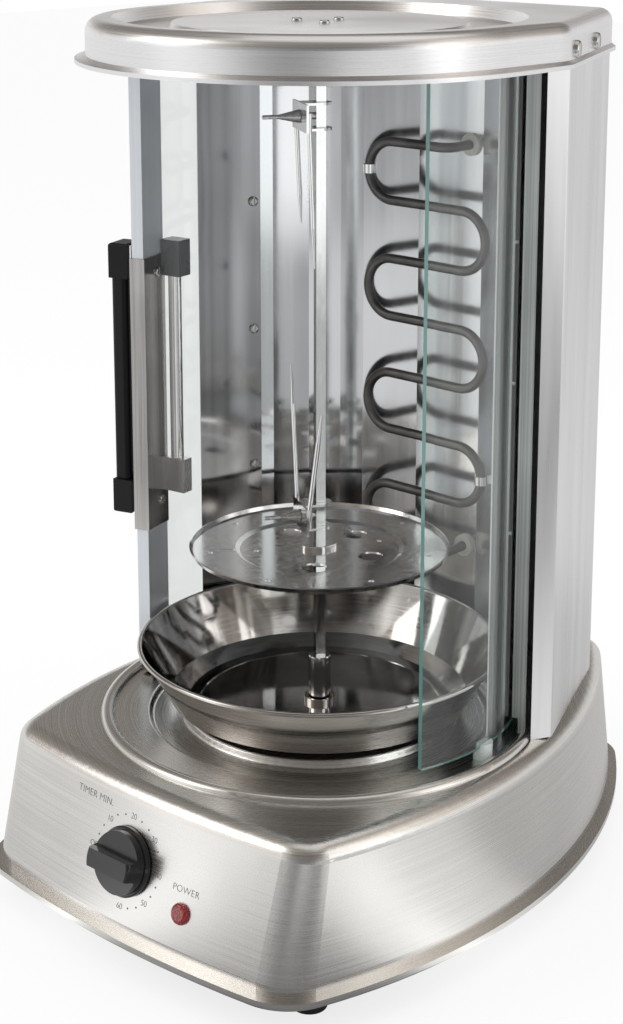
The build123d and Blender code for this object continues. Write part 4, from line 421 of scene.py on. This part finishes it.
# Plastic, rubber, ceramic and print
black_finish = plastic("black_moulding", dark=(0.008, 0.008, 0.010), light=(0.018, 0.018, 0.021),
                       grain=1200, rough=(0.16, 0.26), strength=0.03, coat=0.35)
grip_finish = plastic("black_grip", dark=(0.003, 0.003, 0.004), light=(0.008, 0.008, 0.009),
                      grain=1500, rough=(0.34, 0.48), strength=0.08, shine=0.22)
rubber_finish = plastic("foot_rubber", dark=(0.010, 0.010, 0.010), light=(0.026, 0.026, 0.026),
                        grain=700, rough=(0.6, 0.8), strength=0.15)
white_finish = plastic("pale_moulding", dark=(0.66, 0.66, 0.62), light=(0.78, 0.78, 0.74),
                       grain=800, rough=(0.4, 0.5), strength=0.05)
ceramic_finish = plastic("white_ceramic", dark=(0.70, 0.67, 0.60), light=(0.82, 0.80, 0.74),
                         grain=500, rough=(0.5, 0.65), strength=0.08)
nylon_finish = plastic("clear_nylon", dark=(0.62, 0.68, 0.66), light=(0.76, 0.82, 0.80),
                       grain=600, rough=(0.12, 0.2), strength=0.03, coat=0.4)
print_finish = plastic("dial_print", dark=(0.17, 0.17, 0.17), light=(0.25, 0.25, 0.25),
                       grain=2500, rough=(0.5, 0.6), strength=0.02)

FINISHES = {
    base_finish: ["base_shell"],
    lid_finish: ["lid_shell"],
    casing_finish: ["rear_casing"],
    left_painted_shade_finish: ["reflector_side_left"],
    mirror_finish: ["reflector_corner_left", "reflector_corner_right"],
    side_finish: ["reflector_side_right"],
    niche_finish: ["reflector_rear"],
    bowl_finish: ["drip_tray"],
    disc_finish: ["spit_disc"],
    bright_finish: ["spit_rod", "drive_socket", "disc_hub", "upper_fork", "lower_fork", "motor_coupling",
                    "heater_clips", "handle_clips", "handle_rod"],
    screw_finish: ["foot_screws", "plate_screws", "bridge_screws", "motor_screws", "socket_screw",
                   "timer_screws", "casing_screws", "reflector_screws", "lid_side_screws",
                   "top_bearing_screws", "handle_screws", "motor_shaft", "timer_shaft", "ceiling_posts"],
    plate_finish: ["base_plate", "motor_bridge", "timer_body", "lid_ceiling", "door_track"],
    channel_finish: ["handle_channel", "roller_bracket"],
    profile_finish: ["left_door_profile"],
    bracket_finish: ["handle_brackets"],
    knurl_finish: ["upper_fork_screw", "lower_fork_screw"],
    bronze_finish: ["shaft_bush"],
    motor_finish: ["drive_motor"],
    sheath_finish: ["heating_element"],
    glass_finish: ["left_glass", "right_glass"],
    lens_finish: ["lamp_lens"],
    black_finish: ["timer_knob", "cable_gland", "top_bearing", "left_roller"],
    grip_finish: ["handle_grip"],
    rubber_finish: ["rubber_feet"],
    white_finish: ["lamp_body", "terminal_block"],
    ceramic_finish: ["heater_terminals"],
    nylon_finish: ["door_gliders"],
}
for finish, names in FINISHES.items():
    for name in names:
        nodes[name].data.materials.clear()
        nodes[name].data.materials.append(finish)


# Objects and meshes
def placed(name, data):
    """Object of a mesh, curve, lamp or camera, linked to the scene."""
    made = bpy.data.objects.new(name, data)
    bpy.context.scene.collection.objects.link(made)
    return made


def piece(name, mesh, finish, body):
    """Object at the origin with its finish, which rides on a body."""
    mesh.materials.clear()
    mesh.materials.append(finish)
    made = placed(name, mesh)
    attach(made, body)


def plain_mesh(holder):
    """Mesh of a curve, or of an object with its modifiers."""
    graph = bpy.context.evaluated_depsgraph_get()
    return bpy.data.meshes.new_from_object(holder.evaluated_get(graph))


def on_fascia(across, up):
    """Place of the print on the bowed, leaning front: across from the middle and up from the table."""
    turn = asin(across / FASCIA_BOW_R)
    bow = FASCIA_BOW_R * (1 - cos(turn))
    lean = (up - FASCIA_FOOT[1]) * tan(FASCIA_LEAN)
    out = Vector((sin(turn) * cos(FASCIA_LEAN), -cos(turn) * cos(FASCIA_LEAN), sin(FASCIA_LEAN)))
    return Vector((across, FASCIA_FOOT[0] + bow + lean, up)) + out * PRINT_LIFT


def print_on_fascia(name, mesh, x, z):
    """Lays a flat mesh on the front round a place, as print."""
    for vertex in mesh.vertices:
        vertex.co = on_fascia(x + vertex.co.x, z + vertex.co.y * cos(FASCIA_LEAN))
    mesh.update()
    piece(name, mesh, print_finish, "base")


# Words
def lettering(words, size, spacing):
    """Flat mesh of words, centred."""
    curve = bpy.data.curves.new("words", "FONT")
    curve.body = words
    curve.size = size
    curve.space_character = spacing
    curve.offset = -size * PRINT_THIN
    curve.align_x = "CENTER"
    curve.align_y = "CENTER"
    holder = placed("words", curve)
    mesh = plain_mesh(holder)
    bpy.data.objects.remove(holder)
    return mesh


for step, words in enumerate(DIAL_WORDS):
    angle = radians(OFF_ANGLE - DIAL_STEP * step)
    reach = DIAL_R + (OFF_REACH if words == "OFF" else 0)
    print_on_fascia(f"dial_{words.lower()}", lettering(words, DIAL_LETTERS, DIAL_SPACING),
                    reach * cos(angle), DIAL_Z + reach * sin(angle) * cos(FASCIA_LEAN))
for name, words, size, x, z, spacing in LABELS:
    print_on_fascia(name, lettering(words, size, spacing), x, z)


# Dial dots
def grown(name, tree, inputs):
    """Plain mesh of a node tree with its inputs set by name."""
    holder = placed(name, bpy.data.meshes.new(name))
    modifier = holder.modifiers.new(name, "NODES")
    modifier.node_group = tree
    for item in tree.interface.items_tree:
        if item.in_out == "INPUT":
            modifier[item.identifier] = inputs[item.name]
    mesh = plain_mesh(holder)
    holder.modifiers.remove(modifier)
    bpy.data.objects.remove(holder)
    return mesh


def dots_tree():
    """Dots evenly spaced within each step of a dial, clockwise from its start."""
    tree = bpy.data.node_groups.new("dial_dots", "GeometryNodeTree")
    tree.interface.new_socket("Geometry", in_out="OUTPUT", socket_type="NodeSocketGeometry")
    for label, kind in (("Dots", "Int"), ("Reach", "Float"), ("Step", "Float"), ("Start", "Float"),
                        ("Dot Radius", "Float"), ("Finish", "Material")):
        tree.interface.new_socket(label, in_out="INPUT", socket_type=f"NodeSocket{kind}")
    entry = add(tree, "NodeGroupInput").outputs
    index = add(tree, "GeometryNodeInputIndex").outputs["Index"]
    step = maths(tree, "FLOOR", maths(tree, "DIVIDE", index, DOTS_PER_STEP))
    in_step = maths(tree, "ADD", maths(tree, "MODULO", index, DOTS_PER_STEP), 1)
    steps = maths(tree, "ADD", step, maths(tree, "DIVIDE", in_step, DOTS_PER_STEP + 1))
    angle = maths(tree, "SUBTRACT", entry["Start"], maths(tree, "MULTIPLY", steps, entry["Step"]))
    place = add(tree, "ShaderNodeCombineXYZ", {
        "X": maths(tree, "MULTIPLY", maths(tree, "COSINE", angle), entry["Reach"]),
        "Y": maths(tree, "MULTIPLY", maths(tree, "SINE", angle), entry["Reach"]),
    })
    points = add(tree, "GeometryNodePoints", {"Count": entry["Dots"], "Position": place.outputs["Vector"]})
    dot = add(tree, "GeometryNodeMeshCircle", {"Vertices": DOT_SIDES, "Radius": entry["Dot Radius"]},
              fill_type="NGON")
    copies = add(tree, "GeometryNodeInstanceOnPoints", {"Points": points.outputs["Points"],
                                                        "Instance": dot.outputs["Mesh"]})
    real = add(tree, "GeometryNodeRealizeInstances", {"Geometry": copies.outputs["Instances"]})
    paint = add(tree, "GeometryNodeSetMaterial", {"Geometry": real.outputs["Geometry"],
                                                  "Material": entry["Finish"]})
    add(tree, "NodeGroupOutput", {"Geometry": paint.outputs["Geometry"]})
    return tree


dots = grown("dial_dots", dots_tree(), {
    "Dots": DOTS_PER_STEP * (len(DIAL_WORDS) - 1),
    "Reach": DIAL_R,
    "Step": radians(DIAL_STEP),
    "Start": radians(OFF_ANGLE),
    "Dot Radius": DOT_RADIUS,
    "Finish": print_finish,
})
print_on_fascia("dial_dots", dots, 0.0, DIAL_Z)


# Guard strips
def guard_strip(side):
    """Thin ribbed strip from deck to ceiling, between a door's glass and the column's front lip."""
    outline = [(STRIP_OUT, STRIP_FOOT), (STRIP_OUT, STRIP_TOP), (STRIP_IN, STRIP_TOP),
               (STRIP_IN, STRIP_NOTCH_Z), (STRIP_NOTCH, STRIP_NOTCH_Z), (STRIP_NOTCH, STRIP_FOOT)]
    turn = side * STRIP_BEARING
    out, across = Vector((sin(turn), -cos(turn), 0)), Vector((cos(turn), sin(turn), 0))
    form = bmesh.new()
    front, back = [[form.verts.new(out * reach + across * lift + Vector((0, 0, z))) for reach, z in outline]
                   for lift in (0.0, STRIP_THICK)]
    form.faces.new(front)
    form.faces.new(list(reversed(back)))
    for first in range(len(outline)):
        after = (first + 1) % len(outline)
        form.faces.new([front[after], front[first], back[first], back[after]])
    bmesh.ops.recalc_face_normals(form, faces=form.faces)
    mesh = bpy.data.meshes.new("guard_strip")
    form.to_mesh(mesh)
    form.free()
    return mesh


for side, label in ((1, "right"), (-1, "left")):
    piece(f"guard_strip_{label}", guard_strip(side), strip_finish, "base")


# Studio. What gloss sees of it: stops of a bearing in degrees and a grey level, for the floor at three
# distances, the walls at two heights and the ceiling. Warmth is how far blue falls short of red, and the high
# walls and the ceiling have more of it than the rest.
NEAR_FLOOR = [(-180, 0.70), (-90, 0.85), (-45, 0.75), (-32, 0.80), (-19, 1.80), (-12, 0.90), (-2, 0.35),
              (30, 0.14), (54, 0.14), (64, 0.30), (74, 1.20), (82, 1.55), (92, 1.05), (104, 0.90),
              (116, 0.50), (160, 0.60)]
MIDDLE_FLOOR = [(-180, 0.72), (-90, 0.85), (-45, 0.85), (-20, 1.60), (-12, 0.60), (2, 0.30), (20, 0.20),
                (38, 0.85), (52, 0.60), (60, 0.42), (74, 0.45), (86, 0.26), (98, 0.24), (106, 0.80),
                (130, 0.85)]
FAR_FLOOR = [(-180, 0.70), (-150, 0.78), (-80, 1.00), (-40, 0.88), (-5, 1.25), (12, 0.60), (25, 0.36),
             (37, 0.34), (46, 0.75), (57, 1.40), (79, 1.45), (89, 0.50), (97, 0.50), (112, 0.95),
             (132, 0.90)]
LOW_WALLS = [(-180, 0.80), (-135, 0.98), (-82, 0.90), (-50, 0.90), (-34, 1.35), (-18, 0.85), (4, 0.40),
             (29, 0.20), (56, 0.20), (76, 0.50), (97, 0.90), (105, 1.25), (124, 1.05), (150, 0.85),
             (175, 0.80)]
HIGH_WALLS = [(-180, 0.20), (-120, 0.22), (-80, 0.30), (-54, 0.60), (-35, 1.25), (-16, 0.60), (8, 0.22),
              (60, 0.18), (84, 0.30), (98, 0.45), (110, 0.95), (126, 0.95), (148, 0.35), (170, 0.20)]
CEILING = [(-180, 0.30), (-60, 0.28), (-38, 0.60), (-16, 0.28), (100, 0.30), (150, 0.50), (175, 0.32)]
WARMTH = 0.01
HIGH_WARMTH = 0.18
CEILING_WARMTH = 0.16

# Distances on the floor, and heights as the upward part of a direction, over which one gives way to the next
NEAR_TO_MIDDLE = (0.55, 0.80)
MIDDLE_TO_FAR = (1.7, 2.4)
LOW_TO_HIGH = (0.16, 0.32)
HIGH_TO_CEILING = (0.70, 0.80)

# Floor: half its side, its paint, its white glow, the share of that glow in what the camera sees, and the
# share of the stretches above in what gloss sees
FLOOR_REACH = 6
FLOOR_PAINT = (0.86, 0.86, 0.86)
FLOOR_WHITE = 1.14
FLOOR_SEEN_SHARE = 0.68
FLOOR_GLOSS_SHARE = 0.85

# World: what the camera sees, and what lights the object
WORLD_WHITE = (1, 1, 1)
WORLD_LIGHT = (0.70, 0.70, 0.70)

# Lamps: name, place, size and watts
LAMPS = (
    ("key", (-1.3, -1.6, 1.6), (1.4, 1.2), 9),
    ("top", (0.2, 0.1, 2.0), (1.6, 1.6), 4),
    ("side", (1.9, 0.3, 0.9), (0.8, 1.4), 3),
)
LAMP_AIM = Vector((0, 0, 0.3))

# Camera: its place, its tilt from straight down, its turn, its lens and sensor in millimetres, and its shift
CAMERA_PLACE = (0.8058, -0.9027, 0.6498)
CAMERA_TILT = radians(77.28)
CAMERA_TURN = radians(42)
CAMERA_LENS = 69.7
CAMERA_SENSOR = 36
CAMERA_SHIFT = -0.2


def bearing_share(tree, direction):
    """Bearing of a direction, as a share of the full round from -180 degrees."""
    towards_front = maths(tree, "MULTIPLY", part(tree, direction, "Y"), -1)
    bearing = maths(tree, "ARCTAN2", part(tree, direction, "X"), towards_front)
    return maths(tree, "ADD", maths(tree, "DIVIDE", bearing, tau), 0.5)


def ramp(tree, share, stops, warmth=WARMTH):
    """Grey levels round the studio, from their stops. A new stop starts in the middle until it is placed."""
    node = add(tree, "ShaderNodeValToRGB", {"Fac": share})
    node.color_ramp.interpolation = "EASE"
    while len(node.color_ramp.elements) < len(stops):
        node.color_ramp.elements.new(0.5)
    for element, (bearing, grey) in zip(node.color_ramp.elements, stops):
        element.position = (bearing + 180) / 360
        element.color = (grey, grey * (1 - warmth / 2), grey * (1 - warmth), 1)
    return node.outputs["Color"]


def seen(tree, ray):
    """1 on rays that show the studio itself, straight or through glass."""
    return maths(tree, "MAXIMUM", ray["Is Camera Ray"], ray["Is Transmission Ray"])


def studio_floor():
    """Pale floor that keeps the object's shadow, and that gloss sees as paler and darker stretches."""
    mesh = bpy.data.meshes.new("floor")
    form = bmesh.new()
    bmesh.ops.create_grid(form, x_segments=1, y_segments=1, size=FLOOR_REACH)
    form.to_mesh(mesh)
    form.free()
    floor = placed("floor", mesh)
    material, tree, shader, coords = start("pale_floor")
    fill(tree, shader, {"Base Color": FLOOR_PAINT, "Roughness": 0.9, "Specular IOR Level": 0.0})
    ray = add(tree, "ShaderNodeLightPath").outputs
    white = add(tree, "ShaderNodeEmission", {"Strength": FLOOR_WHITE}).outputs["Emission"]
    seen_share = maths(tree, "MULTIPLY", seen(tree, ray), FLOOR_SEEN_SHARE)
    lit = mixed_shader(tree, seen_share, shader.outputs["BSDF"], white)
    around = bearing_share(tree, coords)
    away = vectors(tree, "LENGTH", coords)
    within = blended(tree, crossing(tree, away, NEAR_TO_MIDDLE), ramp(tree, around, NEAR_FLOOR),
                     ramp(tree, around, MIDDLE_FLOOR))
    bands = blended(tree, crossing(tree, away, MIDDLE_TO_FAR), within, ramp(tree, around, FAR_FLOOR))
    gloss = add(tree, "ShaderNodeEmission", {"Color": bands}).outputs["Emission"]
    gloss_share = maths(tree, "MULTIPLY", ray["Is Glossy Ray"], FLOOR_GLOSS_SHARE)
    show(tree, mixed_shader(tree, gloss_share, lit, gloss))
    mesh.materials.append(material)


def studio_world():
    """White background, even light, and walls that gloss sees as paler and darker stretches."""
    world = bpy.data.worlds.new("studio")
    bpy.context.scene.world = world
    world.use_nodes = True
    tree = world.node_tree
    tree.nodes.clear()
    direction = add(tree, "ShaderNodeTexCoord").outputs["Generated"]
    height = part(tree, direction, "Z")
    around = bearing_share(tree, direction)
    walls = blended(tree, crossing(tree, height, LOW_TO_HIGH), ramp(tree, around, LOW_WALLS),
                    ramp(tree, around, HIGH_WALLS, HIGH_WARMTH))
    bands = blended(tree, crossing(tree, height, HIGH_TO_CEILING), walls,
                    ramp(tree, around, CEILING, CEILING_WARMTH))
    light, gloss, shown = [add(tree, "ShaderNodeBackground", {"Color": colour}).outputs["Background"]
                           for colour in (WORLD_LIGHT, bands, WORLD_WHITE)]
    ray = add(tree, "ShaderNodeLightPath").outputs
    lit = mixed_shader(tree, ray["Is Glossy Ray"], light, gloss)
    add(tree, "ShaderNodeOutputWorld", {"Surface": mixed_shader(tree, seen(tree, ray), lit, shown)})


def lamp(name, place, size, power):
    """Soft rectangular lamp aimed at the object."""
    data = bpy.data.lights.new(name, "AREA")
    data.shape = "RECTANGLE"
    data.size, data.size_y = size
    data.energy = power
    made = placed(name, data)
    made.location = place
    made.rotation_euler = (LAMP_AIM - Vector(place)).to_track_quat("-Z", "Y").to_euler()


studio_floor()
studio_world()
for name, place, size, power in LAMPS:
    lamp(name, place, size, power)

view = bpy.data.cameras.new("camera")
view.lens = CAMERA_LENS
view.sensor_width = CAMERA_SENSOR
view.shift_y = CAMERA_SHIFT
camera = placed("camera", view)
camera.location = CAMERA_PLACE
camera.rotation_euler = (CAMERA_TILT, 0, CAMERA_TURN)
bpy.context.scene.camera = camera
bpy.context.scene.view_settings.view_transform = "Standard"
